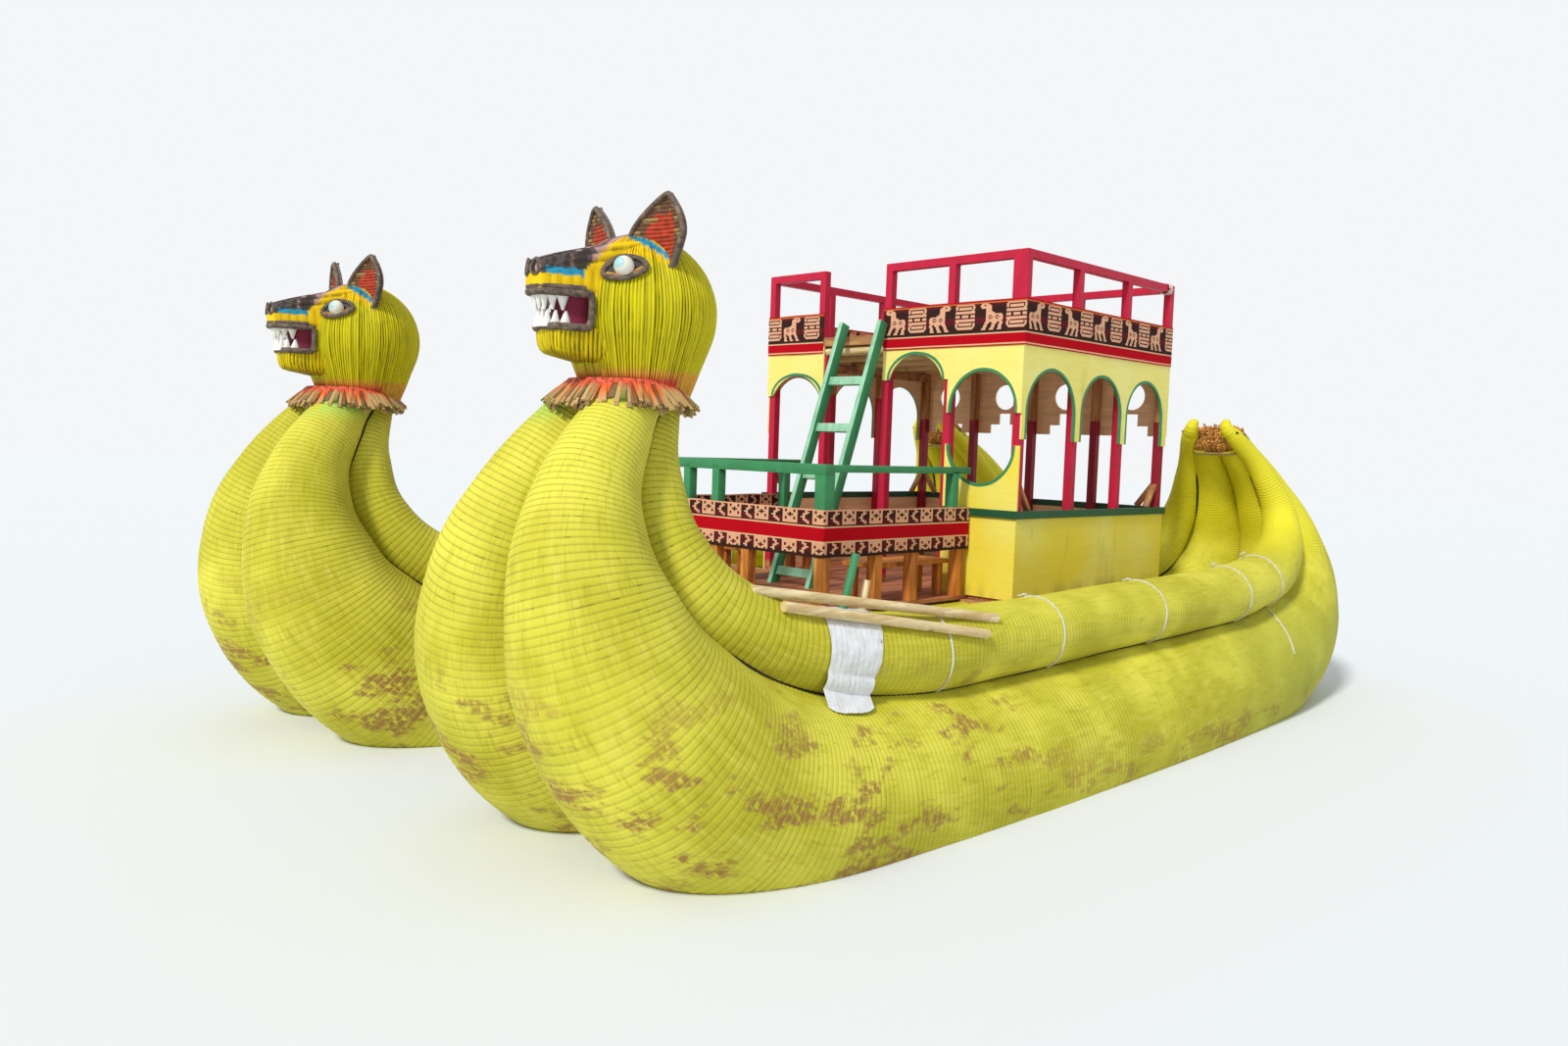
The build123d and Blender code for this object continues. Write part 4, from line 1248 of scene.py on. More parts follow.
# Across, along, half width at the root
TEETH = [(0.014, -4.090, 0.024), (0.038, -4.078, 0.027), (0.058, -4.046, 0.031), (0.072, -3.998, 0.040)]


def tooth(x, y, girth, root, way, long):
    """A pointed tooth, broad at the root and a little curved."""
    obj = primitive("cone", "tooth", vertices=10, radius1=girth, radius2=0.007, depth=long,
                    location=(x, y, root + way * long / 2), rotation=(0 if way > 0 else math.pi, 0, 0))
    bpy.ops.object.transform_apply(location=True, rotation=True, scale=True)
    co = points_of(obj)
    share = np.abs(co[:, 2] - root) / long
    co[:, 0] = x + (co[:, 0] - x) * 0.7
    co[:, 1] += 0.004 * share ** 2
    move_points(obj, co)
    return obj


def stalk_faces(base, rings, sides):
    """Faces of one closed stalk, whose rings of points start at base."""
    faces = []
    for start in range(base, base + (rings - 1) * sides, sides):
        for c in range(sides):
            d = (c + 1) % sides
            faces.append((start + c, start + d, start + sides + d, start + sides + c))
    for end in (base, base + (rings - 1) * sides):
        faces.append(tuple(range(end, end + sides)))
    return faces


def collar(look):
    """Flared ruff of cut reeds: ragged layers, red at the top and bare at the cut ends."""
    points, faces, paint = [], [], []
    for layer in range(COLLAR_LAYERS):
        for i in range(COLLAR_BLADES):
            turn = 2 * math.pi * (i + 0.5 * layer + random.uniform(-0.25, 0.25)) / COLLAR_BLADES
            long = random.uniform(0.120, 0.185) - 0.02 * layer
            flare = random.uniform(0.48, 0.75) + 0.13 * layer
            half = random.uniform(0.0072, 0.0112)
            twist = random.uniform(-0.20, 0.20)
            radial = Vector((math.sin(turn), -math.cos(turn), 0))
            sideways = Vector((math.cos(turn), math.sin(turn), 0))
            start = COLLAR_MIDDLE + radial * COLLAR_R + (radial + DOWN) * 0.012 * layer
            way = (radial * math.sin(flare) + DOWN * math.cos(flare) + sideways * twist).normalized()
            face = sideways.cross(way).normalized()
            # A tone for each blade, at random; the darkest blades stand as painted shade in the gaps between
            # blades
            tone = random.choice((0.42, 0.75, 0.95, 1.1, 1.15))
            tip = look.collar_green if random.random() < 0.15 else look.collar_tan
            middle = look.collar_orange if random.random() < 0.45 else look.collar_tan
            faces += stalk_faces(len(points), 3, 4)
            for share, colour in ((0.0, look.head_red), (0.38, middle), (1.0, tip)):
                centre = start + way * long * share + DOWN * 0.018 * share ** 2
                wide = half * (0.8 + 0.35 * share)
                for a, b in ((-1, -0.48), (1, -0.48), (1, 0.48), (-1, 0.48)):
                    points.append(centre + (sideways * a + face * b) * wide)
                    paint.append(np.array(colour) * tone)
    obj = turn_out(mesh_piece("collar", points, faces))
    paint_points(obj, paint, [0.0] * len(points))
    return obj


# Woven figures, one mark a knot, in a maker's stepped shapes
FIGURE_BEAST = """
....####..............
...######.............
..###..####...........
..##########..........
...#########..........
.......#####..........
.......#####..........
.......######.........
.......########.......
.......##############.
.......###..####..####
.......##.##.##.##.###
.......###..####..####
.......###############
.......##############.
......####..#####..###
......###....###...###
.....###....###...###.
.....###....###...###.
....###....###....###.
...####...####...####.
""".split()
FIGURE_HATCHED = """
..##############..
.################.
##..............##
##.############.##
##.############.##
...............##.
##################
##################
..................
####..######..####
####..######..####
..................
##################
##################
.##...............
##.############.##
##.############.##
##..............##
.################.
..##############..
..................
""".split()
FIGURE_BLOCK = """
##############
##############
##..######..##
##..######..##
######..######
####......####
######..######
##..######..##
##..######..##
##############
##############
""".split()
FIGURE_STEPS = """
..##....
..####..
....##..
....####
..####..
..##....
####....
..##....
..####..
....####
......##
""".split()
FIGURE_BEAST_BACK = [row[::-1] for row in FIGURE_BEAST]
FIGURE_GAP = 3


def figure_at(column, row, figures):
    """Is there a woven figure's knot here? Row 0 is the lowest of the figure."""
    place = column % sum(len(figure[0]) + FIGURE_GAP for figure in figures)
    for figure in figures:
        if place < len(figure[0]) + FIGURE_GAP:
            break
        place -= len(figure[0]) + FIGURE_GAP
    high = len(figure)
    if not (0 <= row < high and place < len(figure[0])):
        return False
    return figure[high - 1 - row][place] == "#"


def cloth_band(name, corners, foot, top, stripes, knot, hem):
    """A band of cloth on a line of corners: a grid of knots, with stripes and figures, and a little slack."""
    runs = [(Vector((*b, 0)) - Vector((*a, 0))).length for a, b in zip(corners, corners[1:])]
    total = sum(runs)
    columns = round(total / knot)
    rows = round((top - foot) / knot)
    points = []
    for r in range(rows + 1):
        for c in range(columns + 1):
            s = total * c / columns
            i, left = 0, s
            while i < len(runs) - 1 and left > runs[i]:
                left -= runs[i]
                i += 1
            a, b = Vector((*corners[i], 0)), Vector((*corners[i + 1], 0))
            way = (b - a).normalized()
            outward = Vector((way.y, -way.x, 0))
            z = foot + (top - foot) * r / rows
            near_end = min(left, runs[i] - left) / 0.06
            slack = 0.004 * noise.noise(Vector((s * 2.2, z * 3.0, 3)))
            slack += 0.002 * noise.noise(Vector((s * 9, z * 6, 8)))
            wave = hem * noise.noise(Vector((s * 2.8, 5 if r * 2 > rows else 9, 1)))
            edge = (r / rows * 2 - 1) ** 2
            spot = a + way * left + outward * slack * min(1, near_end)
            points.append((spot.x, spot.y, z + wave * edge))
    faces, paint = [], []
    uvs = []
    for r in range(rows):
        for c in range(columns):
            k = r * (columns + 1) + c
            faces.append((k, k + 1, k + columns + 2, k + columns + 1))
            uvs += [(c * knot, r * knot), ((c + 1) * knot, r * knot),
                    ((c + 1) * knot, (r + 1) * knot), (c * knot, (r + 1) * knot)]
            paint += [stripes(c, r, rows)] * 4
    obj = mesh_piece(name, points, faces)
    obj.data.uv_layers.new(name="UVMap").data.foreach_set("uv", [x for uv in uvs for x in uv])
    paint_points(obj, paint, domain="CORNER")
    add_modifier(obj, "SOLIDIFY", thickness=0.003, offset=0)
    return obj, total


def upper_stripes(look):
    """Knot colours of the upper band: a red stripe low down, the figures above it."""
    def colour(column, row, rows):
        if row == 0:
            return look.cloth_red
        if row in (1, 9):
            return look.cloth_cream
        if row < 9:
            return look.cloth_red
        if row >= rows - 2:
            return look.cloth_orange if row == rows - 2 else look.cloth_red
        if figure_at(column, row - 12, (FIGURE_BEAST, FIGURE_HATCHED, FIGURE_BEAST_BACK, FIGURE_HATCHED)):
            return look.cloth_tan
        return look.cloth_brown if 16 < row < 22 or row > 29 else look.cloth_dark
    return colour


def pen_stripes(look):
    """Knot colours of the fence's band: a red stripe in the middle, figures above and below."""
    def colour(column, row, rows):
        if row in (10, 20):
            return look.cloth_cream
        if 10 < row < 20:
            return look.cloth_red
        if row < 2:
            return look.cloth_dark
        if row == rows - 1:
            return look.cloth_tan
        low = -1 if row < 10 else 22
        if figure_at(column, row - low, (FIGURE_BLOCK, FIGURE_STEPS)):
            return look.cloth_tan
        return look.cloth_dark if row % 13 < 4 else look.cloth_brown
    return colour


def swept(name, sections):
    """A solid through a row of sections, each a closed outline with the same number of points."""
    points = [point for section in sections for point in section]
    return turn_out(mesh_piece(name, points, stalk_faces(0, len(sections), len(sections[0]))))


def mouth(look):
    """The maroon inside of the mouth, between the roof and the jaw."""
    plan = [(0.125, -3.845), (0.112, -3.905), (0.085, -3.965), (0.050, -3.985)]
    outline = plan + [(-x, y) for x, y in reversed(plan)]
    rows = []
    for share in np.linspace(0, 1, 9):
        z = JAW_TOP - 0.002 + (ROOF - JAW_TOP + 0.004) * share
        pinch = 1 - 0.10 * math.sin(math.pi * share)
        rows.append([(x * pinch, y, z) for x, y in outline])
    obj = swept("mouth", rows)
    paint_points(obj, [look.mouth] * len(obj.data.vertices))
    return obj


def lips():
    """Thick bound lips in one closed frame round the mouth, with a second cord along the upper one."""
    line = lip_line(ROOF + 0.002, JAW_TOP - 0.004)
    cord = [(x * 1.03, y - 0.004, z + 0.024) for x, y, z in line[1:11]]
    frame_tube = tube("lip_frame", line, 0.019, closed=True, sides=4)
    return joined("lips", [frame_tube, tube("lip_cord", cord, 0.012)])


def nostril(side):
    """The dark opening at the snout's tip, painted shade inside it, and the rim bound round it."""
    yaw = math.radians(24)
    out = Vector((side * math.sin(yaw), -math.cos(yaw), 0.10)).normalized()
    across = Vector((-out.y, out.x, 0)).normalized()
    up = upright(out, across)
    centre = Vector((side * NOSTRIL[0], NOSTRIL[1], NOSTRIL[2]))
    outline = []
    for a in ring(20):
        high = math.sin(a) * (0.044 if math.sin(a) > 0 else 0.030)
        outline.append(centre + across * math.cos(a) * (0.027 - 0.30 * max(high, 0)) + up * high)
    hole = swept("nostril", [[p + out * depth for p in outline] for depth in (-0.03, 0.004)])
    return hole, tube("nostril_rim", [p + out * 0.006 for p in outline], 0.0075, closed=True)


def eyelids(side):
    """The rim of an eye, and the ochre lid below the ball."""
    rim = tube("lid_rim", almond(side, 0.012), 0.0145, closed=True)
    brow = tube("brow", almond(side, 0.004, 1.22)[6:14], 0.012)
    centre, _, across, lift = eye_frame(side)
    lower = []
    for share in np.linspace(-1, 1, 11):
        sag = LID_HIGH * (0.62 - 0.42 * share ** 2)
        lower.append(on_skull(centre + across * LID_LONG * 0.80 * share - lift * sag, 0.016))
    return joined("lid_rims", [rim, brow]), tube("lower_lid", lower, 0.010)


def stern_reeds(look):
    """Cut reeds that stand out of the port hull's stern tip, and the rope tied round the tip."""
    a, b = Vector(BUNDLE[-2][:3]), Vector(BUNDLE[-1][:3])
    way = (b - a).normalized()
    way = Vector((0, way.y, way.z)).normalized()
    rise = Vector((0, -way.z, way.y))
    radius = BUNDLE[-1][3] - 0.012
    points, faces, paint = [], [], []
    placed = 0
    while placed < STERN_REEDS:
        u = random.uniform(-radius - b.x, radius + b.x)
        v = random.uniform(-radius, radius)
        if max(0.0, abs(u) - b.x) ** 2 + v * v > radius ** 2:
            continue
        placed += 1
        foot = Vector((HULL_X + u, b.y, b.z)) + rise * v - way * 0.05
        lean = Vector([random.uniform(-0.10, 0.10) for _ in range(3)])
        tip = foot + way * random.uniform(0.095, 0.150) + lean * 0.12
        girth = random.uniform(0.005, 0.0085)
        tone = random.uniform(0.7, 1.2)
        faces += stalk_faces(len(points), 2, 5)
        for spot, colour in ((foot, look.cut_dark), (tip, look.cut_pale)):
            for turn in ring(5):
                points.append(spot + (Vector((math.cos(turn), 0, 0)) + rise * math.sin(turn)) * girth)
                paint.append(np.array(colour) * tone)
    reeds = turn_out(mesh_piece("stern_reeds", points, faces))
    paint_points(reeds, paint, [0.0] * len(points))
    turns = []
    for out, back in ((radius + 0.017, 0.020), (radius + 0.019, 0.036)):
        line = []
        for angle in ring(36):
            u = math.copysign(b.x, math.cos(angle)) + math.cos(angle) * out
            v = math.sin(angle) * (out if abs(math.cos(angle)) > 0.05 else out * 0.97)
            line.append(Vector((HULL_X + u, b.y, b.z)) + rise * v - way * back)
        turns.append(tube("stern_rope", line, 0.007, closed=True))
    return reeds, joined("stern_rope", turns)


def roll_station(stations, y):
    """Centre line point, direction and radius of a roll where it passes y."""
    ys = [s[1] for s in stations]
    k = max(i for i in range(len(ys) - 1) if ys[i] <= y or i == 4)
    a, b = stations[k], stations[k + 1]
    share = (y - a[1]) / (b[1] - a[1])
    spot = [a[i] + (b[i] - a[i]) * share for i in range(4)]
    way = Vector((b[0] - a[0], b[1] - a[1], b[2] - a[2])).normalized()
    return Vector((HULL_X + spot[0], spot[1], spot[2])), way, spot[3]


def round_frame(way):
    """Directions across a roll and up from it, at right angles to the way it runs."""
    across = (Vector((1, 0, 0)) - way * way.x).normalized()
    return across, upright(way, across)


def rope_loop(name, y):
    """One turn of rope tied round the port outer roll, with a small knot on top."""
    centre, way, girth = roll_station(OUTER_ROLL, y)
    across, up = round_frame(way)
    roll = surface_of(bpy.data.objects["port_outer_roll_skin"])
    line = []
    for a in ring(40):
        out = across * math.cos(a) + up * math.sin(a)
        reach = (roll.ray_cast(centre, out)[3] or girth) + ROPE_R * 0.6
        line.append(centre + out * reach + way * 0.006 * math.sin(3 * a + y))
    parts = [tube(name, line, ROPE_R, closed=True)]
    a = 1.9
    top = centre + (across * math.cos(a) + up * math.sin(a)) * (girth * 1.012 + ROPE_R * 1.6)
    knot = [top + (across * math.cos(t) + way * math.sin(t)) * 0.011 for t in np.linspace(0, 5.5, 9)]
    parts.append(tube(name, knot, ROPE_R))
    for sign in (1, -1):
        end = [top, top + way * 0.03 * sign + across * 0.004 - up * 0.004,
               top + way * 0.05 * sign - across * 0.02 - up * 0.008]
        parts.append(tube(name, end, ROPE_R * 0.9))
    return joined(name, parts)


def rope_down(name, y):
    """The tail of the last rope, laid down the side of the port outer bundle."""
    bundle = surface_of(bpy.data.objects["port_outer_bundle_skin"])
    centre = roll_station(BUNDLE, y)[0]
    high, low = 64, 20
    line = []
    for angle in np.linspace(high, low, 14):
        a = math.radians(angle)
        out = Vector((math.cos(a), -0.30 * (high - angle) / (high - low), math.sin(a)))
        spot, normal = bundle.ray_cast(centre, out.normalized())[:2]
        line.append(spot + normal * 0.005)
    return tube(name, line, ROPE_R)


def wrap_sheet(name):
    """The creased white sheet that is folded over the port outer roll, and its size laid flat."""
    rows, columns = 64, 90
    under = [surface_of(bpy.data.objects[f"port_outer_{part}_skin"]) for part in ("roll", "bundle")]
    lines = []
    for c in range(columns + 1):
        s = c / columns
        rays, reaches = [], []
        for r in range(rows + 1):
            t = r / rows
            front = SHEET_ENDS[0] + 0.05 * t ** 1.3 + 0.020 * noise.noise(Vector((t * 3, 0, 3)))
            back = SHEET_ENDS[1] - 0.04 * t - 0.012 * noise.noise(Vector((t * 7, 0, 9)))
            centre, way, girth = roll_station(OUTER_ROLL, front + (back - front) * s)
            across, up = round_frame(way)
            angle = math.radians(98 - 157 * t)
            out = across * math.cos(angle) + up * math.sin(angle)
            hits = [tree.ray_cast(centre + out * 0.6, -out)[3] for tree in under]
            reaches.append(0.6 - min([hit for hit in hits if hit] or [0.6 - girth]))
            rays.append((centre, out))
        # pulled taut over the crease between roll and bundle
        taut = np.convolve(np.pad(reaches, 7, mode="edge"), np.full(15, 1 / 15), mode="valid")
        reaches = np.maximum(reaches, taut)
        line = []
        for r, (centre, out) in enumerate(rays):
            t = r / rows
            p = Vector((s * 4.0, t * 6.0, 2.0))
            crease = 0.5 * noise.noise(p) + 0.5 * abs(noise.noise(p * 2.3))
            crease += 0.25 * abs(noise.noise(Vector((s * 9 + t * 3, t * 2.0, 7))))
            calm = 1 - 0.6 * (2 * s - 1) ** 6
            line.append(centre + out * (reaches[r] + 0.005 + 0.009 * max(0.0, crease) * calm))
        # cut to the sheet's own length, a little shorter at its corners
        run = np.cumsum([0.0] + [(b - a).length for a, b in zip(line, line[1:])])
        want = np.linspace(0, SHEET_LONG - 0.03 * (2 * s - 1) ** 4, rows + 1)
        lines.append([Vector([np.interp(far, run, [p[k] for p in line]) for k in range(3)]) for far in want])
    faces = []
    for r in range(rows):
        for c in range(columns):
            s, t = c / columns, r / rows
            if s > 0.8 and noise.noise(Vector((s * 17, t * 21, 5))) > 0.62:
                continue
            k = r * (columns + 1) + c
            faces.append((k, k + columns + 1, k + columns + 2, k + 1))
    obj = mesh_piece(name, [line[r] for r in range(rows + 1) for line in lines], faces)
    in_edit_mode(obj, (bpy.ops.mesh.delete_loose, {}))
    add_modifier(obj, "SOLIDIFY", thickness=0.0015, offset=1)
    wide = sum((b[rows // 2] - a[rows // 2]).length for a, b in zip(lines, lines[1:]))
    return obj, (wide, SHEET_LONG)


def arch_line(middle, half, spring, rise, foot):
    """An arch's edge from one foot over to the other, as across and up."""
    line = [(middle + half * math.cos(a), spring + rise * math.sin(a)) for a in np.linspace(math.pi, 0, 41)]
    if foot < spring - 0.002:
        steps = max(2, int((spring - foot) / 0.03))
        rise_up = [(middle - half, foot + (spring - foot) * k / steps) for k in range(steps)]
        line = rise_up + line + [(2 * middle - x, z) for x, z in reversed(rise_up)]
    return line


def edging(name, line, place, width):
    """A painted edge along an opening: a thin band on the face that turns into the cut edge."""
    sections = []
    spots = [Vector(p) for p in line]
    for i, spot in enumerate(spots):
        way = (spots[min(i + 1, len(spots) - 1)] - spots[max(i - 1, 0)]).normalized()
        away = Vector((-way.y, way.x))
        wide = width + 0.003 * noise.noise(Vector((spot.x * 9, spot.y * 9, 1)))
        profile = ((wide, -0.0005), (wide, 0.0018), (-0.0015, 0.0018), (-0.0015, -WALL - 0.0005),
                   (0.0006, -WALL - 0.0005), (0.0006, -0.0005))
        sections.append([place(*(spot + away * reach), depth) for reach, depth in profile])
    return swept(name, sections)


def block(name, size, middle, turn):
    """A squared timber, turned about its middle, with eased edges."""
    obj = primitive("cube", name, size=1)
    obj.scale = size
    obj.rotation_euler = turn
    obj.location = middle
    bpy.ops.object.transform_apply(location=True, rotation=True, scale=True)
    add_modifier(obj, "BEVEL", width=0.003, segments=2)
    return obj


def timber_piece(name, foot, head, wide, thick):
    """A squared timber from one point to another."""
    foot, head = Vector(foot), Vector(head)
    way = head - foot
    return block(name, (wide, thick, way.length), (foot + head) / 2, rotate_to(way))


def board(name, low, high, lean=0.0):
    """A squared board between two corners, leant about its middle."""
    low, high = Vector(low), Vector(high)
    return block(name, high - low, (low + high) / 2, (lean, 0, 0))


def ladder_boards():
    """Two leaning stiles cut level at the deck, and flat boards as steps."""
    foot, top = Vector(LADDER_FOOT), Vector(LADDER_TOP)
    rise = top - foot
    lean = -math.atan2(rise.y, rise.z)
    below = 0.2
    middle = (top + foot - rise.normalized() * below) / 2
    half = Vector((0.0225, 0.0475, (rise.length + below) / 2))
    cut_level = {"plane_co": (0, 0, DECK_TOP), "plane_no": (0, 0, -1), "use_fill": True, "clear_outer": True}
    parts = []
    for side in (1, -1):
        stile = middle + Vector((side * 0.2175, 0, 0))
        parts.append(board("stile", stile - half, stile + half, lean))
        in_edit_mode(parts[-1], (bpy.ops.mesh.bisect, cut_level))
    for z in LADDER_STEPS:
        y = foot.y + (z - 0.037 - foot.z) * rise.y / rise.z
        low, high = (middle.x - 0.21, y - 0.016, z - 0.075), (middle.x + 0.21, y + 0.016, z)
        parts.append(board("step", low, high, lean))
    return joined("ladder_boards", parts)


def fence_boards():
    """Rails of the fore deck's fence, with stout corner posts and lighter ones between."""
    top = FENCE_TOP
    parts = [board("rail", (-PEN_HALF, PEN_FRONT, top - 0.075), (PEN_HALF, PEN_FRONT + 0.08, top))]
    posts = [(x, PEN_FRONT + 0.0375, 0.075) for x in (-0.512, -0.175)]
    for side in (1, -1):
        near, far = sorted((side * PEN_HALF, side * (PEN_HALF - 0.08)))
        low, high = (near, PEN_FRONT + 0.079, top - 0.055), (far, CABIN_FRONT - 0.012, top - 0.003)
        parts.append(board("rail", low, high))
        posts.append((side * (PEN_HALF - 0.051), PEN_FRONT + 0.051, 0.100))
        posts.append((side * (PEN_HALF - 0.0375), 0.137, 0.075))
    for x, y, wide in posts:
        half = Vector((wide / 2, wide / 2, 0))
        low, high = Vector((x, y, FENCE_FOOT)), Vector((x, y, top - 0.04))
        parts.append(board("post", low - half, high + half))
    return joined("fence_boards", parts)


def lashing(name, centre, axis, reach, turns, radius):
    """Turns of rope wound round a squared timber that runs along the axis."""
    centre, axis = Vector(centre), Vector(axis)
    across = Vector((0, 0, 1))
    sideways = axis.cross(across)
    line = []
    for k in range(turns * 12 + 1):
        a = 2 * math.pi * k / 12
        wide = reach * (1 + 0.08 * math.sin(k * 1.7)) * (1 + 0.13 * math.sin(2 * a) ** 2)
        line.append(centre + (across * math.sin(a) + sideways * math.cos(a)) * wide
                    + axis * (k / 12 * radius * 2.1 - turns * radius))
    return tube(name, line, radius)


def finish_nodes(names, material, bevel=0.0):
    """Puts a finish on the model's own pieces, with eased edges where they are squared timber."""
    for name in names:
        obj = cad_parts[name]
        for place in obj.material_slots:
            place.material = material
        if bevel:
            weld = obj.modifiers.new("Weld", "WELD")
            weld.merge_threshold = 0.0001
            ease = obj.modifiers.new("Bevel", "BEVEL")
            ease.width = bevel
            ease.segments = 2
            ease.limit_method = "ANGLE"
            ease.angle_limit = math.radians(40)
            ease.harden_normals = True


def both_sides(piece, name, material, slot, *nodes):
    """Settles a port piece, and its mirror image on the starboard side."""
    piece.name = piece.data.name = "port_" + name
    settle(piece, material, ["port_" + node for node in nodes])
    twin = mirrored(piece, "starboard_" + name, 0)
    settle(twin, None, ["starboard_" + node for node in nodes])


class BOAT_OT_hulls(bpy.types.Operator):
    """Lays the reed bundles and rolls of both hulls under their cords"""
    bl_idname = "boat.hulls"
    bl_label = "Hull bundles"

    def execute(self, context):
        look = context.scene.boat_hull
        reed = hull_reed(look)
        # Near-black cords in the creases between rolls and bundles: painted shadow of the creases
        cords = laid_rope("seam_cord", srgb("2c2a0a"))
        pitches = (look.thin_pitch, look.thick_pitch, look.cord_relief)
        outer = reed_bundle("outer_bundle", BUNDLE, 1, 48, *pitches)
        inner = mirrored(outer, "inner_bundle", HULL_X)
        seams = [seam_cord("seam", OUTER_ROLL, 1, outer), seam_cord("seam", INNER_ROLL, -1, inner)]
        both_sides(joined("roll_seams", seams), "roll_seams", cords, "hull_reed")
        both_sides(outer, "outer_bundle_skin", reed, "hull_reed", "outer_bundle")
        both_sides(inner, "inner_bundle_skin", reed, "hull_reed", "inner_bundle")
        roll = reed_bundle("outer_roll", OUTER_ROLL, 1, 28, *pitches)
        both_sides(roll, "outer_roll_skin", reed, "hull_reed", "outer_roll")
        roll = reed_bundle("inner_roll", INNER_ROLL, -1, 28, *pitches)
        co = points_of(roll)
        below_deck = (co[:, 1] > PEN_FRONT - 0.03) & (co[:, 1] < CABIN_BACK + 0.03)
        co[below_deck, 2] = np.minimum(co[below_deck, 2], DECK_UNDER - 0.001)
        move_points(roll, co)
        both_sides(roll, "inner_roll_skin", reed, "hull_reed", "inner_roll")
        return {"FINISHED"}


class BOAT_OT_sterns(bpy.types.Operator):
    """Sets the cut reeds and their rope at both stern tips"""
    bl_idname = "boat.sterns"
    bl_label = "Stern tips"

    def execute(self, context):
        look = context.scene.boat_hull
        reeds, rope = stern_reeds(look)
        both_sides(reeds, "cut_reeds", painted_reed("cut_reed", srgb("2c2010")), "cut_reed", "stern_reeds")
        both_sides(rope, "stern_rope", laid_rope("straw_rope", srgb("b8a05c")), "cut_reed")
        return {"FINISHED"}


class BOAT_OT_heads(bpy.types.Operator):
    """Builds both heads: reed skin, snout, jaw, lips, nostrils, eyes, ears and teeth"""
    bl_idname = "boat.heads"
    bl_label = "Heads"

    def execute(self, context):
        look = context.scene.boat_head
        clad = painted_reed("head_reed", look.gap_dark)
        rim = bark("brown_rim", look.lip)
        lid = bark("lower_lid", look.lid)
        # A near-black finish for eye sockets and nostril holes: painted shade in these hollows
        dark = plain_finish("hollow_shade", look.socket, 0.6)
        white = plain_finish("tooth_white", look.tooth, 0.3, coat=0.4, grain=24.0)
        for make in (skull, muzzle, jaw, mouth):
            on_both_heads([make(look)], make.__name__, clad, "head")
        sides = [(*nostril(side), eyeball(look, side), eye_socket(side), *eyelids(side), *ear(look, side))
                 for side in (1, -1)]
        holes, rims, balls, sockets, lid_rims, lower_lids, skins, ear_rims = zip(*sides)
        teeth = []
        for side in (1, -1):
            teeth += [tooth(side * x, y, girth, ROOF + 0.006, -1, 0.086) for x, y, girth in TEETH]
            teeth += [tooth(side * x, y + 0.018, girth, JAW_TOP - 0.006, 1, 0.080) for x, y, girth in TEETH]
        on_both_heads([lips()], "lips", rim, "face_rims")
        on_both_heads(rims, "nostril_rims", rim, "face_rims")
        on_both_heads(holes, "nostrils", dark, "head")
        on_both_heads(lid_rims, "eye_rims", rim, "face_rims")
        on_both_heads(lower_lids, "lower_lids", lid, "face_rims")
        on_both_heads(sockets, "eye_sockets", dark, "head")
        on_both_heads(balls, "eyeballs", painted_ball(), "eyes")
        on_both_heads(skins, "ear_skins", clad, "ears")
        on_both_heads(ear_rims, "ear_rims", rim, "ears")
        on_both_heads(teeth, "teeth_points", white, "teeth")
        return {"FINISHED"}


class BOAT_OT_collars(bpy.types.Operator):
    """Ties the flared collars of cut reed under both heads"""
    bl_idname = "boat.collars"
    bl_label = "Collars"

    def execute(self, context):
        look = context.scene.boat_head
        material = painted_reed("collar_reed", look.gap_dark)
        on_both_heads([collar(look)], "collar_blades", material, "collar")
        return {"FINISHED"}


class BOAT_OT_walls(bpy.types.Operator):
    """Paints the cabin's sheets and edges its arches in green"""
    bl_idname = "boat.walls"
    bl_label = "Cabin walls"

    def execute(self, context):
        look = context.scene.boat_cabin
        walls = ["port_lower_wall", "starboard_lower_wall", "aft_lower_wall", "front_lower_wall",
                 "front_arches", "port_arches", "starboard_arches", "aft_screen"]
        finish_nodes(walls, wall_sheet(look))
        green = painted_wood("arch_edging", look.trim_green, tone_of(look.trim_green, 0.6),
                             (12.0, 12.0, 12.0))
        edges = []

        def front(u, z, depth):
            return (u, CABIN_FRONT - depth, z)

        def port(u, z, depth):
            return (CABIN_HALF + depth, u, z)

        for bay in FRONT_BAYS:
            edges.append(edging("edge", arch_line(*bay), front, look.trim_width))
        middle, half = FRONT_BAYS[2][:2]
        turns = np.linspace(0, -math.pi, 41)
        bowl = [(middle + half * math.cos(a), ROUND_Z + half * math.sin(a)) for a in turns]
        edges.append(edging("edge", bowl, front, look.trim_width))
        settle(joined("front_edging", edges), green, smooth=40)
        edges = [edging("edge", arch_line(*arch, SIDE_FOOT), port, look.trim_width) for arch in SIDE_ARCHES]
        both_sides(joined("edging", edges), "edging", green, "green_timber")
        return {"FINISHED"}


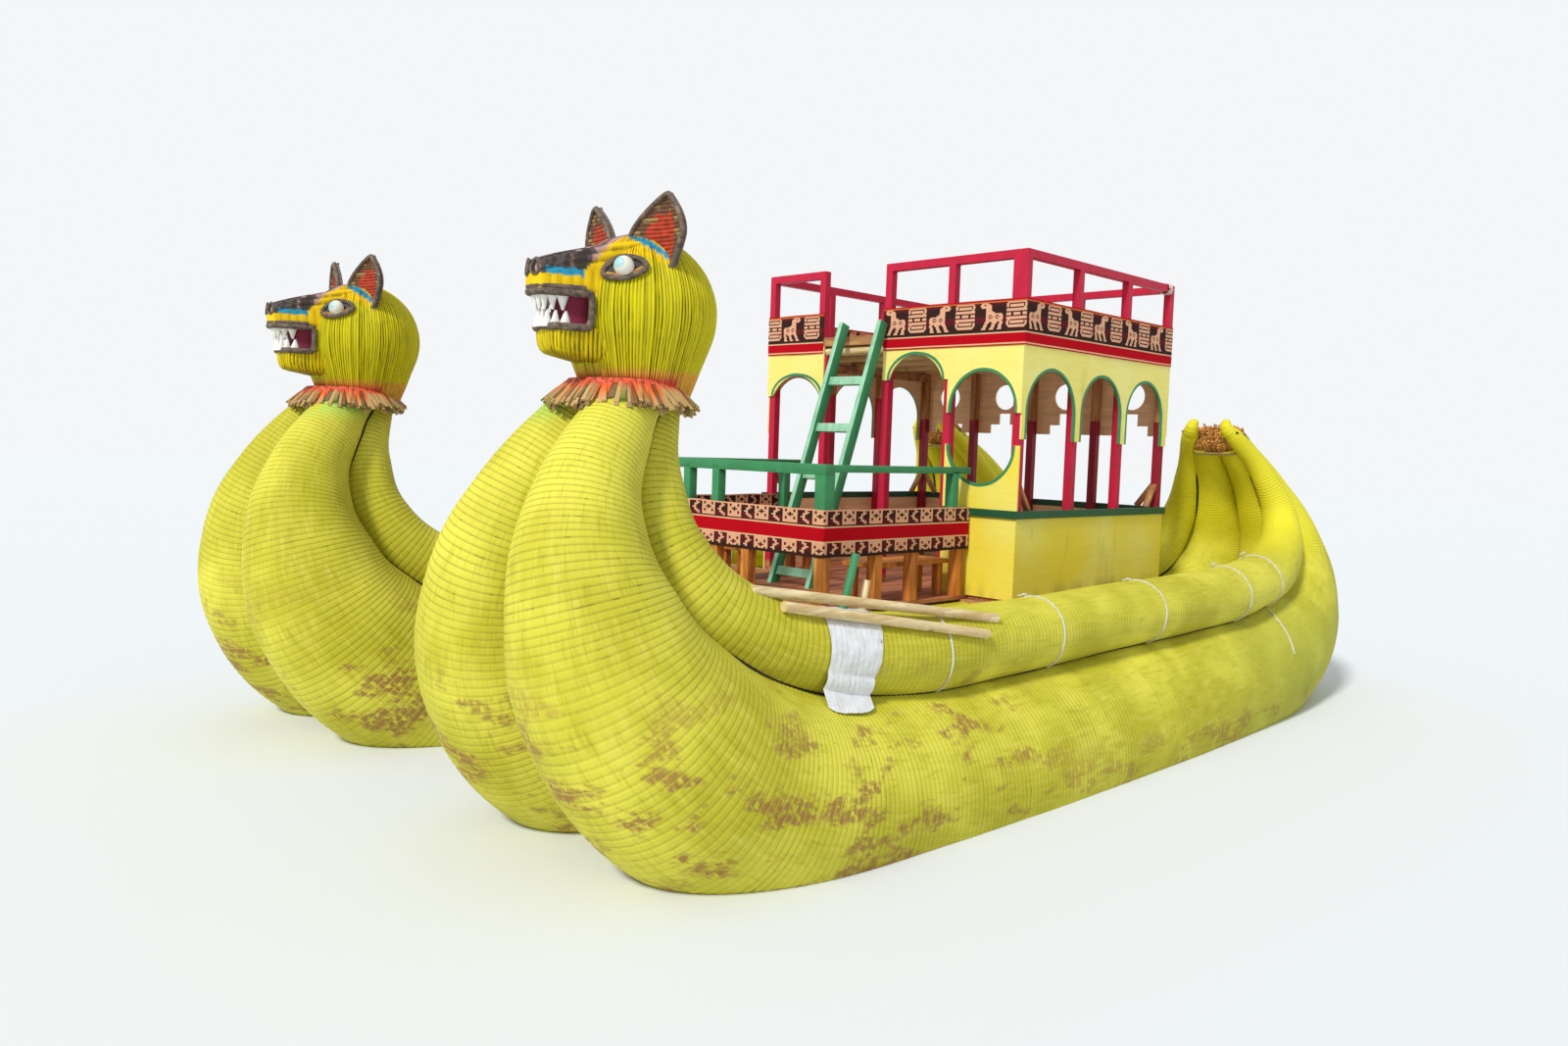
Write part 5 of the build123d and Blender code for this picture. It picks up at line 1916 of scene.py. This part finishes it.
class BOAT_OT_timber(bpy.types.Operator):
    """Finishes posts, rails, decks, fence, benches, beams and ladder, and adds the corner braces"""
    bl_idname = "boat.timber"
    bl_label = "Timber"

    def execute(self, context):
        look = context.scene.boat_cabin
        fence, sill, pale, bark_dark = look.fence_green, look.sill_green, look.timber_pale, look.timber_dark
        finish_nodes(["cabin_posts"], post_finish(look), 0.003)
        material = painted_wood("crimson_timber", look.crimson, look.crimson_worn, (14.0, 14.0, 5.0))
        finish_nodes(["upper_railing"], material, 0.004)
        material = painted_wood("sill_green", sill, tone_of(sill, 0.6), (5.0, 5.0, 30.0))
        finish_nodes(["sill_band"], material, 0.003)
        material = painted_wood("fence_green", fence, tone_of(fence, 0.55), (9.0, 9.0, 9.0))
        settle(fence_boards(), material, ["pen_fence"], smooth=30)
        material = painted_wood("ladder_green", fence, tone_of(fence, 0.6), (14.0, 14.0, 4.0),
                                lit_face_paint=look.ladder_mint)
        settle(ladder_boards(), material, ["ladder"], smooth=30)
        material = plain_wood("bare_timber", pale, bark_dark, (3.0, 14.0, 14.0))
        finish_nodes(["roof_frame", "upper_fascia", "cross_beams"], material, 0.003)
        material = plain_wood("round_log", look.pole_pale, look.pole_dark, (2.0, 18.0, 18.0))
        finish_nodes(["roof_joists"], material)
        material = plain_wood("weathered_leg", look.leg_pale, look.leg_dark, (18.0, 18.0, 2.5))
        finish_nodes(["pen_legs", "benches"], material, 0.003)
        material = plain_wood("deck_timber", look.deck_pale, look.deck_dark, (22.0, 2.0, 10.0), board=0.1557)
        finish_nodes(["fore_deck", "cabin_floor", "upper_boards"], material, 0.003)
        braces = []
        low, high = BRACE_REACH
        side, front, back = CABIN_HALF - 0.051, CABIN_FRONT + 0.051, CABIN_BACK - 0.051
        for x in (side, -side):
            inward = math.copysign(1, -x)
            for y, dx, dy in ((front, 0, 1), (back, 0, -1), (back, inward, 0)):
                foot = (x + dx * low, y + dy * low, SILL_TOP)
                head = (x + dx * high, y + dy * high, SILL_TOP + BRACE_HIGH)
                braces.append(timber_piece("brace", foot, head, *((0.032, 0.05) if dx else (0.05, 0.032))))
        material = plain_wood("brace_timber", pale, bark_dark, (14.0, 14.0, 4.0))
        settle(joined("corner_braces", braces), material, smooth=30)
        return {"FINISHED"}


class BOAT_OT_gear(bpy.types.Operator):
    """Adds poles, stakes, the white wrap and the rope turns"""
    bl_idname = "boat.gear"
    bl_label = "Loose gear and ropes"

    def execute(self, context):
        look = context.scene.boat_hull
        cabin = context.scene.boat_cabin
        pole = plain_wood("pale_pole", cabin.pole_pale, cabin.pole_dark, (18.0, 1.6, 18.0))
        finish_nodes(["poles"], pole)
        finish_nodes(["stakes"], stake_finish(cabin))
        rope = laid_rope("white_rope", look.rope)
        loops = [rope_loop("rope_loop", y) for y in ROPE_PLACES]
        loops.append(rope_down("rope_tail", ROPE_PLACES[-1]))
        both_sides(joined("rope_loops", loops), "rope_loops", rope, "white_sheet")
        settle(lashing("rail_lashing", RAIL_TIE, (0, 1, 0), 0.046, 4, 0.007), rope)
        sheet, flat = wrap_sheet("roll_wrap_sheet")
        settle(sheet, white_wrap(look), ["roll_wrap"])
        return {"FINISHED"}


class BOAT_OT_cloths(bpy.types.Operator):
    """Hangs the woven bands round the upper deck and the fence"""
    bl_idname = "boat.cloths"
    bl_label = "Woven bands"

    def execute(self, context):
        look = context.scene.boat_cloth
        woven = woven_cloth()
        half, front, back = CABIN_HALF + 0.005, CABIN_FRONT - 0.005, CABIN_BACK + 0.005
        upper = [(0.0, front), (half, front), (half, back), (-half, back), (-half, front), (-0.70, front)]
        half, front, back = PEN_HALF + 0.005, PEN_FRONT - 0.005, 0.32
        pen = [(-half, back), (-half, front), (half, front), (half, back)]
        for name, corners, (foot, top), stripes, hem, node, holder in (
                ("upper_band", upper, UPPER_CLOTH, upper_stripes(look), 0.003, "upper_cloth", "upper_fascia"),
                ("pen_band", pen, PEN_CLOTH, pen_stripes(look), 0.008, "pen_cloth", "fence_boards")):
            band, length = cloth_band(name, corners, foot, top, stripes, look.knot, hem)
            settle(band, woven, [node])
            top - foot
        return {"FINISHED"}


class BOAT_OT_stage(bpy.types.Operator):
    """Sets the floor at the waterline, the light and the camera"""
    bl_idname = "boat.stage"
    bl_label = "Stage"

    def execute(self, context):
        look = context.scene.boat_stage
        scene_camera()
        floor = primitive("plane", "floor", size=160, location=(0, 0, 0))
        floor.data.materials.append(floor_finish(look))
        sun = bpy.data.lights.new("sun", "SUN")
        sun.energy = look.sun
        sun.angle = math.radians(9)
        sun.color = (1.0, 0.985, 0.95)
        linked("sun", sun).rotation_euler = rotate_to(SUN_FROM)
        world = bpy.data.worlds.new("world")
        world.use_nodes = True
        context.scene.world = world
        tree = world.node_tree
        light = tree.nodes["Background"]
        kinds = ("Background", "LightPath", "Math", "MixShader")
        seen, path, either, mix = [tree.nodes.new("ShaderNode" + kind) for kind in kinds]
        light.inputs["Color"].default_value = (0.94, 0.97, 1.0, 1)
        light.inputs["Strength"].default_value = look.world
        seen.inputs["Color"].default_value = (*look.sky, 1)
        either.operation = "MAXIMUM"
        for start, end in ((path.outputs["Is Camera Ray"], either.inputs[0]),
                           (path.outputs["Is Glossy Ray"], either.inputs[1]),
                           (either.outputs[0], mix.inputs[0]), (light.outputs[0], mix.inputs[1]),
                           (seen.outputs[0], mix.inputs[2]),
                           (mix.outputs[0], tree.nodes["World Output"].inputs["Surface"])):
            tree.links.new(start, end)
        context.scene.view_settings.view_transform = "Standard"
        return {"FINISHED"}


OPERATORS = (BOAT_OT_hulls, BOAT_OT_sterns, BOAT_OT_heads, BOAT_OT_collars, BOAT_OT_walls,
             BOAT_OT_timber, BOAT_OT_gear, BOAT_OT_cloths, BOAT_OT_stage)
GROUPS = {"boat_hull": HullSettings, "boat_head": HeadSettings, "boat_cabin": CabinSettings,
          "boat_cloth": ClothSettings, "boat_stage": StageSettings}


class BOAT_PT_panel(bpy.types.Panel):
    """The boat's steps, in order, with their sizes and colours below them"""
    bl_idname = "BOAT_PT_panel"
    bl_label = "Reed Boat"
    bl_space_type = "VIEW_3D"
    bl_region_type = "UI"
    bl_category = "Reed Boat"

    def draw(self, context):
        column = self.layout.column()
        for operator in OPERATORS:
            column.operator(operator.bl_idname)
        for group in GROUPS:
            box = self.layout.box()
            settings = getattr(context.scene, group)
            for name in settings.__annotations__:
                box.prop(settings, name)


def register():
    for group, kind in GROUPS.items():
        bpy.utils.register_class(kind)
        setattr(bpy.types.Scene, group, bpy.props.PointerProperty(type=kind))
    for kind in (*OPERATORS, BOAT_PT_panel):
        bpy.utils.register_class(kind)


def unregister():
    for kind in (BOAT_PT_panel, *reversed(OPERATORS)):
        bpy.utils.unregister_class(kind)
    for group, kind in GROUPS.items():
        delattr(bpy.types.Scene, group)
        bpy.utils.unregister_class(kind)


def main():
    register()
    bpy.ops.boat.stage()
    bpy.ops.boat.hulls()
    bpy.ops.boat.sterns()
    bpy.ops.boat.heads()
    bpy.ops.boat.collars()
    bpy.ops.boat.walls()
    bpy.ops.boat.timber()
    bpy.ops.boat.gear()
    bpy.ops.boat.cloths()


if __name__ == "__main__":
    main()
